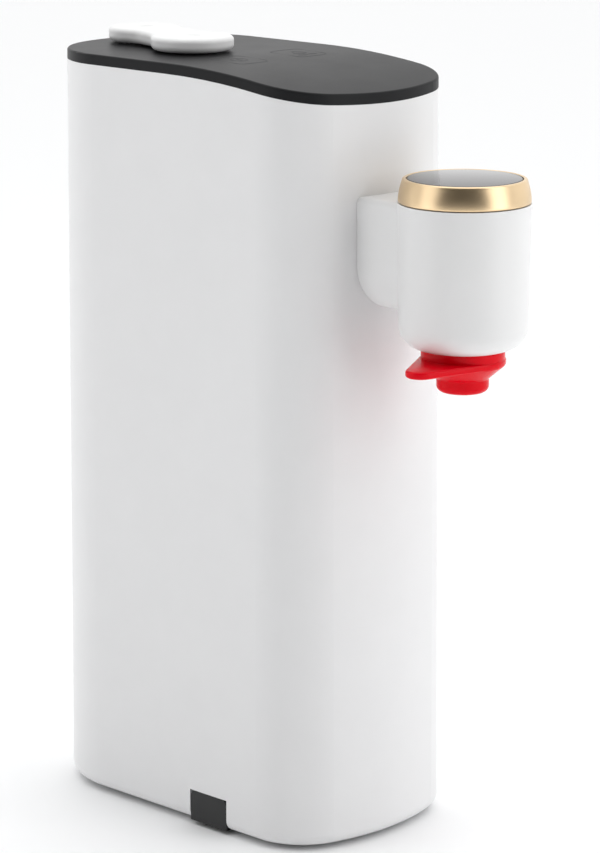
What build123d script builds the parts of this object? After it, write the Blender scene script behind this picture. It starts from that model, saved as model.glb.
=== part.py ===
from build123d import *
import math
import os

# Countertop instant hot-water dispenser, millimetres.
# +Z is up, -Y is the front where the water comes out, X = 0 is the plane of symmetry.
# The origin is on the surface that it stands on, under the middle of its overall box.

# ---------------------------------------------------------------- driving dimensions
BODY_W = 81.5            # casing width at the foot
BODY_L = 140.0           # casing length at the foot
BODY_H = 265.0           # height of the lid's level rear part
DRAFT = 0.38             # mould draft of the casing walls, degrees
WALL = 2.4               # casing wall
FRONT_RISE = 11.0        # how far the front's bow stands ahead of its corners
FRONT_CORNER_R = 23.0    # plan radius of the front corners
REAR_RISE = 10.0         # how far the rear's bow stands behind its corners
REAR_CORNER_R = 34.0     # plan radius of the rear corners
FOOT_GAP = 1.5           # casing above the table
HEM_R = 4.0              # rounding of the casing's lower edge
HEM_T = 5.0              # thickness of the lip turned in at the foot
HEM_W = 8.0              # width of that lip

LID_T = 3.6              # lid thickness
LID_SKIRT = 5.0          # depth of the lid's skirt inside the casing
LID_SKIRT_T = 2.0        # skirt wall
NOSE_L = 67.0            # length over which the top falls away to the front
NOSE_DROP = 6.9          # how far it has fallen at the front

HEAD_REACH = 30.4        # tap head's axis ahead of the casing's foot
HEAD_R = 21.9            # tap head radius at its top
HEAD_TAPER = 0.7         # radius lost towards its lower end
HEAD_TOP = 232.7         # height of the display glass
HEAD_BOTTOM = 176.5      # underside of the head
HEAD_WALL = 2.2
HEAD_FLOOR = 2.5
HEAD_FILLET = 8.0        # rounding of the head's lower edge
RING_H = 7.7             # height of the metal dial ring
RING_TOP_R = 20.6        # its outer radius at the top
GLASS_R = 18.8           # display glass radius
GLASS_T = 1.5
BUTTON_TRAVEL = 0.8      # how far the glass can be pressed

ARM_W = 31.0             # width of the arm between the casing and the head
ARM_H = 38.4             # height of the arm at its middle
ARM_WALL = 2.2
STUB_R = 9.0             # threaded stub on the arm
STUB_L = 10.0
STUB_BORE_R = 6.5
NUT_R = 13.0
NUT_T = 4.0

COLLAR_R = 14.2          # swivelling nozzle collar
WING_T = 2.5             # thickness of its finger plate
WING_TIP = 30.0          # plate tip, from the nozzle's axis
WING_TIP_R = 5.0         # radius of the plate's tip
NOZZLE_R = 8.7           # radius of the nozzle's lower end
NOZZLE_DROP = 14.5       # nozzle end below the head's underside
CORE_R = 4.0             # fixed outlet pipe inside the nozzle
CORE_BORE_R = 2.6

PIVOT_Y = 20.0           # suction arm's pivot, ahead of the casing's rear at its foot
LOBE_A_R = 13.0          # lobe on the pivot
LOBE_B_R = 14.3          # free lobe
LOBE_PITCH = 34.0        # distance between them
LOBE_ANGLE = 15.0        # how far the arm is turned to the left at rest, degrees
WAIST_W = 19.0           # width of the waist between the lobes
WAIST_R = 14.0           # radius of the waist's hollows
SUCTION_T = 4.9          # arm thickness
SUCTION_GAP = 0.6        # arm above the lid
PORT_R = 3.2             # socket for the suction tube, under the free lobe
PORT_DEPTH = 2.6
POST_R = 4.0             # hollow pivot post
POST_BORE_R = 2.0
POST_L = 15.0            # post below the arm
BUSH_R = 7.0             # bearing bush in the lid

TAB_W = 17.8             # rubber drain cover
TAB_H = 11.0
TAB_Y = 3.7              # its middle
TAB_T = 3.0
BUNG_R = 2.8             # bung on its back
BUNG_L = 7.0
DRAIN_Z = 8.0            # height of the drain

FOOT_R = 6.0             # rubber feet
FOOT_T = 2.5
SCREW_R = 1.5            # thread radius of every screw
SCREW_HEAD_R = 3.0
SCREW_HEAD_T = 1.8

SPINE_Y = 24.0           # front face of the inner frame's upright
SPINE_T = 2.5
SPINE_W = 56.0
SPINE_TOP = 236.0
HEATER_R = 16.0          # heater barrel
HEATER_Z = 66.0          # its lower end
HEATER_RISE = 1.5        # its upper pipe stub
HEATER_CAP_T = 6.0
MOTOR_R = 14.0           # pump motor
MOTOR_L = 36.0
MOTOR_Y = 58.0
PUMP_R = 18.0
PUMP_H = 16.0
ROTOR_R = 13.0
TUBE_R = 3.5             # silicone tubes
TUBE_BORE_R = 2.2
BARB_L = 8.0             # length of every pipe stub that a tube pushes onto
BARB_BORE_R = 1.4
BASE_FLANGE_T = 2.0      # rim of the base plate that sits on the casing's lip
CLAMP_REACH = 3.0        # heater barrel to the frame
CLAMP_T = 2.0
CLAMP_H = 10.0
MOUNT_T = 5.5            # rubber block under the motor
SHAFT_R = 2.4

GLAND_R = 5.0            # cord gland through the rear wall
GLAND_BORE_R = 3.2
GLAND_FLANGE_R = 8.0
GLAND_OUT = 3.0          # how far it stands out of the rear wall
GLAND_RIM = 2.0          # width of its rim inside the wall
GLAND_Z = 24.0

LID_EDGE_R = 0.8         # rounding of the lid's rim
BOARD_T = 1.6            # every circuit board
BOARD_W = 48.0
POWER_Z = (62.0, 100.0)  # heights of the power board's lower and upper edges
CONTROL_Z = (150.0, 226.0)
PEG_L = 5.0              # pegs between frame and boards
POWER_PART = 10.0        # size of the power board's components
CONTROL_PART = 6.0       # and of the control board's
PIN_R = 2.0
TOUCH_Z = 254.5          # touch board under the lid
TOUCH_Y = 13.5
TOUCH_HALF_W = 20.0      # half spacing of its pins across
TOUCH_HALF_L = 12.0      # and along
FRAME_FOOT_T = 3.0
FOOT_REACH = 12.0        # frame foot before and behind the spine
SPINE_RIB = 12.0         # width left each side of the spine's window
SPINE_WINDOW = (108.0, 142.0)
FOOT_SPREAD = 22.0       # rubber feet from the middle
FOOT_INSET = 26.0        # rubber feet from the front and the rear
SCREW_SPREAD = 20.0

TAB_CORNER_R = 2.5
TAB_LIP = 7.0            # how far the cover turns under the foot
TAB_LIP_T = 1.6
TAB_POCKET = 9.0         # depth of its recess
SPIGOT_W = 12.0
SPIGOT_L = 17.0
SPIGOT_H = 8.5
SPIGOT_Z = 4.0

LOBE_TOP_R = 1.5         # edge roundings of the suction arm
LOBE_UNDER_R = 2.0
DIMPLE_R = 9.0           # round dimples on its lobes
DIMPLE_DEPTH = 0.5
POST_SEAT = 2.4          # post inside the arm
BUSH_DEEP = 5.0          # bush below the lid
BUSH_RIM_T = 2.0
CLIP_T = 1.5             # retaining clips
CLIP_W = 2.5
SEAL_R = 1.0             # section radius of the seals
UNION_T = 2.5            # wall of the suction union
UNION_POST_X = 14.5

ARM_END_T = 3.0          # arm's end wall against the casing
ARM_EDGE_R = 2.0
LEDGE_T = 2.0            # ledges inside the head
LEDGE_W = 2.5
CARRIER_H = 4.7          # dial bearing inside the head
CARRIER_WALL = 2.1
RING_LEDGE_T = 2.0       # ledge inside the dial ring
RING_LEDGE_W = 0.85
RING_BEVEL = 0.5
GLASS_EDGE_R = 0.4
PLUNGER_T = 1.5
BOSS_R = 3.0
SWITCH_H = 2.9
WIRE_HOLE_R = 2.5
SPRING_R = 6.0
SPRING_WIRE_R = 0.4
SPRING_TURNS = 4
WING_OFFSET = 4.0        # finger plate's tip ahead of the nozzle's axis
WING_ROOT_R = 7.0
WING_EDGE_R = 0.8
NOZZLE_CONE_H = 4.5
NOZZLE_LIP_R = 2.2
CORE_RECESS = 2.0        # outlet pipe's end above the nozzle's end
CORE_PLATE_T = 2.0

HEATER_WALL = 1.5
THERMOSTAT_R = 8.0
THERMOSTAT_T = 6.0
PUMP_WALL = 3.0
ROTOR_DISC_T = 1.6
ROTOR_BLADES = 6
SENSOR_W = 22.0          # flow sensor
SENSOR_H = 16.0
SENSOR_Z = 116.0
BRACKET_W = 12.0
TUBE_BEND = 14.0         # bend radii of the tubes
TUBE_BEND_TIGHT = 7.0

SEAT = 0.1               # clearance of fixed pieces that drop into each other
RUN = 0.05               # radial clearance of turning fits
SLIP = 0.3               # clearance round pieces that turn or slide loosely

# ---------------------------------------------------------------- derived places
OVERALL_L = GLAND_OUT + BODY_L + HEAD_REACH + HEAD_R
REAR_Y = OVERALL_L / 2 - GLAND_OUT
FRONT_Y = REAR_Y - BODY_L
HEAD_Y = FRONT_Y - HEAD_REACH
PIVOT = (0.0, REAR_Y - PIVOT_Y)
FREE_LOBE = (
    PIVOT[0] - LOBE_PITCH * math.sin(math.radians(LOBE_ANGLE)),
    PIVOT[1] - LOBE_PITCH * math.cos(math.radians(LOBE_ANGLE)),
)
SHELF_Z = FOOT_GAP + HEM_T                    # top of the lip at the foot
LID_UNDER = BODY_H - LID_T
RING_BOTTOM = HEAD_TOP - RING_H
SHELL_TOP = RING_BOTTOM - SLIP
NOZZLE_END = HEAD_BOTTOM - NOZZLE_DROP
WING_TOP = HEAD_BOTTOM - 2.9
WING_BOTTOM = WING_TOP - WING_T
ARM_TOP = SHELL_TOP - SLIP                    # the arm's flat top, just below the dial ring
ARM_MID = ARM_TOP - ARM_H + ARM_W / 2         # centre of the arm's rounded underside
BOARD_LEDGE = SHELL_TOP - CARRIER_H - BOARD_T
PIPE_ROOF = BOARD_LEDGE - LEDGE_T - TUBE_R - SLIP
PIPE_Z = min(ARM_MID + STUB_R, PIPE_ROOF)     # height of the hot-water pipe through the arm
BASE_FLANGE_TOP = SHELF_Z + BASE_FLANGE_T
FRONT_BOW_R = ((BODY_W / 2) ** 2 + FRONT_RISE**2) / (2 * FRONT_RISE)
REAR_BOW_R = ((BODY_W / 2) ** 2 + REAR_RISE**2) / (2 * REAR_RISE)
HEATER_Y = SPINE_Y - HEATER_R - CLAMP_REACH
HEATER_TOP = PIPE_Z - TUBE_BEND_TIGHT - HEATER_RISE - HEATER_CAP_T
HEATER_L = HEATER_TOP - HEATER_Z
MOTOR_Z = BASE_FLANGE_TOP + MOUNT_T
PUMP_Z = MOTOR_Z + MOTOR_L
SUCTION_Z = BODY_H + SUCTION_GAP
TAN_DRAFT = math.tan(math.radians(DRAFT))
CORE_LEDGE = HEAD_BOTTOM + HEAD_FLOOR + 4 * CLIP_T
CORE_TOP = CORE_LEDGE + CORE_PLATE_T + BARB_L
HEAD_PLANE = Plane(origin=(0, HEAD_Y, 0), x_dir=(1, 0, 0), z_dir=(0, -1, 0))
HEAD_AXIS = Axis((0, HEAD_Y, 0), (0, 0, 1))
UPRIGHT = (Align.CENTER, Align.CENTER, Align.MIN)
FOOT_PLACES = [
    (x, y)
    for x in (-FOOT_SPREAD, FOOT_SPREAD)
    for y in (FRONT_Y + FOOT_INSET, REAR_Y - FOOT_INSET)
]
SCREW_PLACES = [
    (x, y)
    for x in (-SCREW_SPREAD, SCREW_SPREAD)
    for y in (SPINE_Y - FOOT_REACH / 2, SPINE_Y + SPINE_T + FOOT_REACH / 2)
]
BOARD_PINS = [
    (x, y)
    for x in (-TOUCH_HALF_W, TOUCH_HALF_W)
    for y in (TOUCH_Y - TOUCH_HALF_L, TOUCH_Y + TOUCH_HALF_L)
]


def front_at(z):
    """Y of the casing's front surface at height z."""
    return FRONT_Y + z * TAN_DRAFT


def side_at(z):
    """X of the casing's right side at height z."""
    return BODY_W / 2 - z * TAN_DRAFT


def save(piece, label):
    """Name one finished piece and write it."""
    piece.part.label = label
    export_step(piece.part, f"parts/{label}.step")


# ---------------------------------------------------------------- shared shapes
def plan(inset=0.0):
    """Casing outline at its foot, moved in by inset: flat sides, bowed front and rear."""
    side = BODY_W / 2
    front_corner = FRONT_Y + FRONT_RISE
    rear_corner = REAR_Y - REAR_RISE
    with BuildSketch() as outline:
        with BuildLine():
            Line((side, front_corner), (side, rear_corner))
            ThreePointArc((side, rear_corner), (0, REAR_Y), (-side, rear_corner))
            Line((-side, rear_corner), (-side, front_corner))
            ThreePointArc((-side, front_corner), (0, FRONT_Y), (side, front_corner))
        make_face()
        fillet(outline.vertices().group_by(Axis.Y)[0], FRONT_CORNER_R)
        fillet(outline.vertices().group_by(Axis.Y)[-1], REAR_CORNER_R)
        if inset:
            offset(amount=-inset, kind=Kind.INTERSECTION)
    return outline.sketch


def column(inset, low, high):
    """Drafted column with the casing's outline moved in by inset, from low to high."""
    with BuildPart() as full:
        with BuildSketch():
            add(plan(inset))
        extrude(amount=high, taper=DRAFT)
        if low > 0:
            split(bisect_by=Plane.XY.offset(low), keep=Keep.TOP)
    return full.part


def under_top(depth):
    """Everything lower than the lid's upper surface by at least depth."""
    reach = OVERALL_L
    start = front_at(BODY_H) + NOSE_L
    with BuildPart() as room:
        with BuildSketch(Plane.YZ):
            with BuildLine():
                level = Line((reach, BODY_H - depth), (start, BODY_H - depth))
                nose = TangentArc(
                    (start, BODY_H - depth),
                    (front_at(BODY_H), BODY_H - NOSE_DROP - depth),
                    tangent=(-1, 0),
                )
                tail = Line(nose @ 1, nose @ 1 + (nose % 1) * HEM_W)
                Polyline(tail @ 1, (FRONT_Y - HEM_W, 0), (reach, 0), level @ 0)
            make_face()
        extrude(amount=BODY_W, both=True)
    return room.part


def arm_section(y, inset=0.0):
    """The arm's section at y, seen from the front: flat top, straight sides, round underside."""
    half = ARM_W / 2 - inset
    top = ARM_TOP - inset
    with BuildSketch(Plane.XZ.offset(-y)) as section:
        with BuildLine():
            Polyline((-half, ARM_MID), (-half, top), (half, top), (half, ARM_MID))
            ThreePointArc((half, ARM_MID), (0, ARM_MID - half), (-half, ARM_MID))
        make_face()
    return section.sketch


def head_envelope(inset=0.0):
    """The head's outline as a turned solid, or its inside if inset by the wall."""
    top_r = HEAD_R - inset
    low_r = top_r - HEAD_TAPER
    bottom = HEAD_BOTTOM + (HEAD_FLOOR if inset else 0)
    with BuildPart() as cup:
        with BuildSketch(HEAD_PLANE) as half:
            with BuildLine():
                Polyline((0, bottom), (low_r, bottom), (top_r, SHELL_TOP), (0, SHELL_TOP), close=True)
            make_face()
            corner = half.vertices().group_by(Axis.Y)[0].sort_by(Axis.X)[-1]
            fillet(corner, HEAD_FILLET - inset)
        revolve(axis=HEAD_AXIS)
    return cup.part


def disc(z, height, radius, bore=0.0, at=(0.0, 0.0)):
    """A disc or washer on an upright axis, standing on height z."""
    with BuildPart() as washer:
        with BuildSketch(Plane.XY.offset(z)):
            with Locations(at):
                Circle(radius)
                if bore:
                    Circle(bore, mode=Mode.SUBTRACT)
        extrude(amount=height)
    return washer.part


def bar(y_rear, y_front, radius, z, x=0.0):
    """A round bar along Y between two places."""
    with BuildPart() as rod:
        with BuildSketch(Plane.XZ.offset(-y_rear)):
            with Locations((x, z)):
                Circle(radius)
        extrude(amount=y_rear - y_front)
    return rod.part


def block(x, y, z, corner_r=0.0):
    """A block between pairs of coordinates, its upright edges rounded if asked."""
    with BuildPart() as brick:
        with BuildSketch(Plane.XY.offset(z[0])):
            with Locations(((x[0] + x[1]) / 2, (y[0] + y[1]) / 2)):
                Rectangle(x[1] - x[0], y[1] - y[0])
        extrude(amount=z[1] - z[0])
        if corner_r:
            fillet(brick.edges().filter_by(Axis.Z), corner_r)
    return brick.part


def tube(points, bend_r):
    """A silicone tube along straight runs joined by bends."""
    with BuildPart() as hose:
        with BuildLine() as route:
            if bend_r:
                FilletPolyline(*points, radius=bend_r)
            else:
                Line(*points)
        with BuildSketch(Plane(origin=route.line @ 0, z_dir=route.line % 0)):
            Circle(TUBE_R)
            Circle(TUBE_BORE_R, mode=Mode.SUBTRACT)
        sweep(path=route.line)
    return hose.part


# ---------------------------------------------------------------- casing
def make_body_shell():
    """The tall casing sleeve, with a lip at its foot and openings for arm, cord and drain."""
    with BuildPart() as shell:
        add(column(0, FOOT_GAP, BODY_H))
        fillet(shell.edges().group_by(Axis.Z)[0], HEM_R)
        add(under_top(LID_T), mode=Mode.INTERSECT)
        add(column(WALL, SHELF_Z, BODY_H), mode=Mode.SUBTRACT)
        with BuildSketch():
            add(plan(HEM_W))
        extrude(amount=SHELF_Z, mode=Mode.SUBTRACT)
        add(bar(0, FRONT_Y - SEAT, STUB_R + SEAT, PIPE_Z), mode=Mode.SUBTRACT)
        add(bar(REAR_Y + GLAND_OUT, 0, GLAND_R, GLAND_Z), mode=Mode.SUBTRACT)
        add(drain_window(), mode=Mode.SUBTRACT)
    save(shell, "body_shell")


def drain_window():
    """The cut for the drain cover at the foot of the left side."""
    half = TAB_W / 2 + SEAT
    edge = -BODY_W / 2 - SEAT
    return block((edge, edge + TAB_POCKET), (TAB_Y - half, TAB_Y + half), (0, FOOT_GAP + TAB_H + 2 * SEAT))


def make_base_plate():
    """The plate that closes the casing from below and carries the frame."""
    with BuildPart() as plate:
        with BuildSketch(Plane.XY.offset(FOOT_GAP)):
            add(plan(HEM_W + SEAT))
        extrude(amount=HEM_T)
        with BuildSketch(Plane.XY.offset(SHELF_Z)):
            add(plan(WALL + 2 * SEAT))
        extrude(amount=BASE_FLANGE_T)
        add(drain_window(), mode=Mode.SUBTRACT)
        add(spigot_pocket(), mode=Mode.SUBTRACT)
        with Locations(*[(x, y, FOOT_GAP) for x, y in FOOT_PLACES]):
            Cylinder(FOOT_R, FOOT_T - FOOT_GAP, align=UPRIGHT, mode=Mode.SUBTRACT)
        with Locations(*[(x, y, FOOT_GAP) for x, y in SCREW_PLACES]):
            Cylinder(SCREW_HEAD_R + SEAT, SCREW_HEAD_T, align=UPRIGHT, mode=Mode.SUBTRACT)
            Cylinder(SCREW_R + SEAT, BASE_FLANGE_TOP, align=UPRIGHT, mode=Mode.SUBTRACT)
    save(plate, "base_plate")


def make_rubber_feet():
    """Four rubber pads let into the base plate."""
    with BuildPart() as feet:
        with Locations(*[(x, y, 0) for x, y in FOOT_PLACES]):
            Cylinder(FOOT_R, FOOT_T, align=UPRIGHT)
        fillet(feet.edges().group_by(Axis.Z)[0], FOOT_GAP / 3)
    save(feet, "rubber_feet")


def make_base_screws():
    """Four screws up through the base plate into the frame's foot."""
    with BuildPart() as screws:
        with Locations(*[(x, y, FOOT_GAP) for x, y in SCREW_PLACES]):
            Cylinder(SCREW_HEAD_R, SCREW_HEAD_T, align=UPRIGHT)
            Cylinder(SCREW_R, BASE_FLANGE_TOP - FOOT_GAP + FRAME_FOOT_T - SEAT, align=UPRIGHT)
    save(screws, "base_screws")


def make_top_lid():
    """The lid: level at the rear, falling to the front, with a skirt and board pins."""
    with BuildPart() as skirt:
        add(column(WALL + SEAT, BODY_H / 2, BODY_H))
        add(column(WALL + SEAT + LID_SKIRT_T, BODY_H / 2, BODY_H), mode=Mode.SUBTRACT)
        add(under_top(LID_T), mode=Mode.INTERSECT)
        add(under_top(LID_T + LID_SKIRT), mode=Mode.SUBTRACT)
    with BuildPart() as lid:
        add(column(0, BODY_H / 2, BODY_H))
        add(under_top(0), mode=Mode.INTERSECT)
        add(under_top(LID_T), mode=Mode.SUBTRACT)
        fillet(lid.faces().sort_by(Axis.Z)[-1].edges(), LID_EDGE_R)
        add(skirt.part)
        for x, y in BOARD_PINS:
            add(disc(TOUCH_Z + BOARD_T, LID_UNDER + SEAT - TOUCH_Z - BOARD_T, PIN_R, at=(x, y)))
        add(disc(LID_UNDER - SEAT, LID_T + 2 * SEAT, BUSH_R, at=PIVOT), mode=Mode.SUBTRACT)
    save(lid, "top_lid")


def make_drain_cover():
    """Rubber cover: a flush tab that turns under the foot, with a bung on its back."""
    outer = -side_at(FOOT_GAP + TAB_H) + SEAT
    half = TAB_W / 2 - SEAT
    low = FOOT_GAP + SEAT
    with BuildPart() as cover:
        with BuildSketch(Plane.YZ.offset(outer)) as face:
            with Locations((TAB_Y, low + TAB_H / 2)):
                Rectangle(2 * half, TAB_H)
            fillet(face.vertices().group_by(Axis.Y)[-1], TAB_CORNER_R)
        extrude(amount=TAB_T)
        add(block((outer, outer + TAB_LIP), (TAB_Y - half, TAB_Y + half), (low, low + TAB_LIP_T)))
        with BuildSketch(Plane.YZ.offset(outer + TAB_T)):
            with Locations((TAB_Y, DRAIN_Z)):
                Circle(BUNG_R)
        extrude(amount=BUNG_L)
    save(cover, "drain_cover")


def spigot_pocket():
    """Room in the base plate for the drain spigot."""
    left = -BODY_W / 2 + TAB_POCKET - 2 * SEAT
    half = SPIGOT_W / 2
    return block((left, left + SPIGOT_L), (TAB_Y - half, TAB_Y + half), (SPIGOT_Z, BASE_FLANGE_TOP + SEAT))


def make_drain_spigot():
    """The block behind the cover that takes its bung and the drain tube."""
    left = -BODY_W / 2 + TAB_POCKET
    half = SPIGOT_W / 2 - SEAT
    right = left + SPIGOT_L - 4 * SEAT
    with BuildPart() as spigot:
        add(block((left, right), (TAB_Y - half, TAB_Y + half), (SPIGOT_Z, SPIGOT_Z + SPIGOT_H)))
        barb_x = right - half
        add(disc(SPIGOT_Z + SPIGOT_H, BARB_L, TUBE_BORE_R, at=(barb_x, TAB_Y)))
        add(disc(DRAIN_Z, SPIGOT_H + BARB_L, BARB_BORE_R, at=(barb_x, TAB_Y)), mode=Mode.SUBTRACT)
        with BuildSketch(Plane.YZ.offset(left)):
            with Locations((TAB_Y, DRAIN_Z)):
                Circle(BUNG_R + SLIP)
        extrude(amount=barb_x - left, mode=Mode.SUBTRACT)
    save(spigot, "drain_spigot")


# ---------------------------------------------------------------- suction arm
def make_suction_arm():
    """The two-lobed arm on the lid, with a waterway from its free lobe to its pivot."""
    middle = ((PIVOT[0] + FREE_LOBE[0]) / 2, (PIVOT[1] + FREE_LOBE[1]) / 2)
    with BuildPart() as arm:
        with BuildSketch(Plane.XY.offset(SUCTION_Z)) as outline:
            with Locations(PIVOT):
                Circle(LOBE_A_R)
            with Locations(FREE_LOBE):
                Circle(LOBE_B_R)
            with Locations(middle):
                Rectangle(WAIST_W, LOBE_PITCH, rotation=-LOBE_ANGLE)
            fillet(outline.vertices().sort_by_distance((*middle, 0))[:4], WAIST_R)
        extrude(amount=SUCTION_T)
        fillet(arm.edges().group_by(Axis.Z)[-1], LOBE_TOP_R)
        fillet(arm.edges().group_by(Axis.Z)[0], LOBE_UNDER_R)
        dimple_z = SUCTION_Z + SUCTION_T - DIMPLE_DEPTH + DIMPLE_R
        with Locations((*PIVOT, dimple_z), (*FREE_LOBE, dimple_z)):
            Sphere(DIMPLE_R, mode=Mode.SUBTRACT)
        add(disc(SUCTION_Z - SEAT, POST_SEAT + SEAT, POST_R, at=PIVOT), mode=Mode.SUBTRACT)
        add(disc(SUCTION_Z - SEAT, PORT_DEPTH + SEAT, PORT_R, at=FREE_LOBE), mode=Mode.SUBTRACT)
        angle = math.radians(LOBE_ANGLE)
        way = Plane(origin=(*PIVOT, SUCTION_Z + POST_SEAT), z_dir=(-math.sin(angle), -math.cos(angle), 0))
        with BuildSketch(way):
            Circle(BARB_BORE_R / 2)
        extrude(amount=LOBE_PITCH, mode=Mode.SUBTRACT)
    save(arm, "suction_arm")


def make_pivot():
    """The post, bush, clip and seal that the arm turns in, and the union below them."""
    post_low = SUCTION_Z - POST_L
    bush_low = LID_UNDER - BUSH_DEEP
    clip_top = bush_low - SLIP
    with BuildPart() as post:
        add(disc(post_low, POST_L + POST_SEAT, POST_R, POST_BORE_R, PIVOT))
    save(post, "pivot_post")
    with BuildPart() as bush:
        add(disc(bush_low, BODY_H - bush_low, BUSH_R, POST_R + RUN, PIVOT))
        add(disc(LID_UNDER - BUSH_RIM_T, BUSH_RIM_T, BUSH_R + BUSH_RIM_T, POST_R + RUN, PIVOT))
    save(bush, "pivot_bush")
    with BuildPart() as clip:
        add(disc(clip_top - CLIP_T, CLIP_T, POST_R + CLIP_W, POST_R, PIVOT))
    save(clip, "pivot_clip")
    cup_r = POST_R + 2 * SEAL_R + 2 * SEAT
    cup_top = clip_top - CLIP_T - 2 * SLIP
    with BuildPart() as union:
        add(disc(post_low - UNION_T, cup_top - post_low + UNION_T, cup_r + UNION_T, at=PIVOT))
        add(disc(post_low - SLIP, cup_top, cup_r, at=PIVOT), mode=Mode.SUBTRACT)
        add(disc(post_low - UNION_T - BARB_L, BARB_L, TUBE_BORE_R, at=PIVOT))
        add(disc(post_low - UNION_T - BARB_L, UNION_T + BARB_L, BARB_BORE_R, at=PIVOT), mode=Mode.SUBTRACT)
        for side in (-1, 1):
            lug_x = PIVOT[0] + side * UNION_POST_X
            inner = PIVOT[0] + side * (cup_r + UNION_T / 2)
            lug = (min(lug_x, inner), max(lug_x, inner))
            add(block(lug, (PIVOT[1] - PIN_R, PIVOT[1] + PIN_R), (cup_top - UNION_T, cup_top)))
            add(disc(cup_top - UNION_T, LID_UNDER - cup_top + UNION_T, PIN_R, at=(lug_x, PIVOT[1])))
    save(union, "inlet_union")
    with BuildPart() as seal:
        with Locations((*PIVOT, cup_top - 2 * SEAL_R)):
            Torus(POST_R + RUN + SEAL_R, SEAL_R)
    save(seal, "pivot_seal")


# ---------------------------------------------------------------- tap head
def turned(points):
    """A piece turned about the head's axis from its half section."""
    with BuildPart() as piece:
        with BuildSketch(HEAD_PLANE):
            with BuildLine():
                Polyline(*points, close=True)
            make_face()
        revolve(axis=HEAD_AXIS)
    return piece.part


def make_spout_arm():
    """The hollow arm that carries the head, with a threaded stub into the casing."""
    closed_to = front_at(PIPE_Z) - ARM_END_T
    with BuildPart() as arm:
        extrude(arm_section(front_at(ARM_TOP) + ARM_W / 2), amount=front_at(ARM_TOP) + ARM_W / 2 - HEAD_Y)
        fillet(arm.edges().filter_by(Axis.Y).group_by(Axis.Z)[-1], ARM_EDGE_R)
        extrude(arm_section(closed_to, ARM_WALL), amount=closed_to - HEAD_Y, mode=Mode.SUBTRACT)
        add(column(0, 0, BODY_H), mode=Mode.SUBTRACT)
        add(head_envelope(), mode=Mode.SUBTRACT)
        add(bar(front_at(PIPE_Z) + STUB_L, closed_to, STUB_R, PIPE_Z))
        add(bar(0, HEAD_Y, STUB_BORE_R, PIPE_Z), mode=Mode.SUBTRACT)
    save(arm, "spout_arm")


def make_arm_nut():
    """Ring nut inside the casing that clamps the arm's stub."""
    stand = WALL + NUT_R**2 / (2 * (FRONT_BOW_R - WALL)) + 2 * SEAT
    nut_front = front_at(PIPE_Z) + stand
    with BuildPart() as nut:
        with BuildSketch(Plane.XZ.offset(-nut_front - NUT_T)):
            with Locations((0, PIPE_Z)):
                RegularPolygon(NUT_R, 8)
                Circle(STUB_R, mode=Mode.SUBTRACT)
        extrude(amount=NUT_T)
    save(nut, "arm_nut")


def make_head_shell():
    """The head's cup, with ledges inside for the switch board and the outlet pipe."""
    inside_r = HEAD_R - HEAD_WALL
    with BuildPart() as shell:
        add(head_envelope())
        add(head_envelope(HEAD_WALL), mode=Mode.SUBTRACT)
        for ledge in (BOARD_LEDGE, CORE_LEDGE):
            add(disc(ledge - LEDGE_T, LEDGE_T, inside_r, inside_r - LEDGE_W, (0, HEAD_Y)))
        collar_hole = disc(HEAD_BOTTOM - SEAT, HEAD_FLOOR + 2 * SEAT, COLLAR_R + SLIP, at=(0, HEAD_Y))
        add(collar_hole, mode=Mode.SUBTRACT)
        add(bar(0, HEAD_Y, STUB_BORE_R, PIPE_Z), mode=Mode.SUBTRACT)
    save(shell, "head_shell")


def make_dial():
    """The metal dial ring, the bearing that it turns on and the clip that keeps it down."""
    bore = GLASS_R + SLIP
    ledge_low = RING_BOTTOM + RING_LEDGE_T / 2
    ledge_top = ledge_low + RING_LEDGE_T
    spigot_r = bore - RING_LEDGE_W
    ring = [
        (bore, RING_BOTTOM), (HEAD_R, RING_BOTTOM), (RING_TOP_R + RING_BEVEL, HEAD_TOP - RING_BEVEL),
        (RING_TOP_R, HEAD_TOP), (bore, HEAD_TOP), (bore, ledge_top),
        (spigot_r + RUN, ledge_top), (spigot_r + RUN, ledge_low), (bore, ledge_low),
    ]
    with BuildPart() as dial:
        add(turned(ring))
    save(dial, "dial_ring")
    flange_low = BOARD_LEDGE + BOARD_T
    flange_r = HEAD_R - HEAD_WALL - 2 * SEAT
    inner = spigot_r - CARRIER_WALL
    clip_low = ledge_top + SLIP
    with BuildPart() as carrier:
        add(disc(flange_low, SHELL_TOP - flange_low, flange_r, inner, (0, HEAD_Y)))
        add(disc(SHELL_TOP, clip_low - SHELL_TOP, spigot_r, inner, (0, HEAD_Y)))
    save(carrier, "dial_bearing")
    with BuildPart() as clip:
        add(disc(clip_low, CLIP_T, bore - 2 * SEAT, inner, (0, HEAD_Y)))
    save(clip, "dial_clip")


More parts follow.
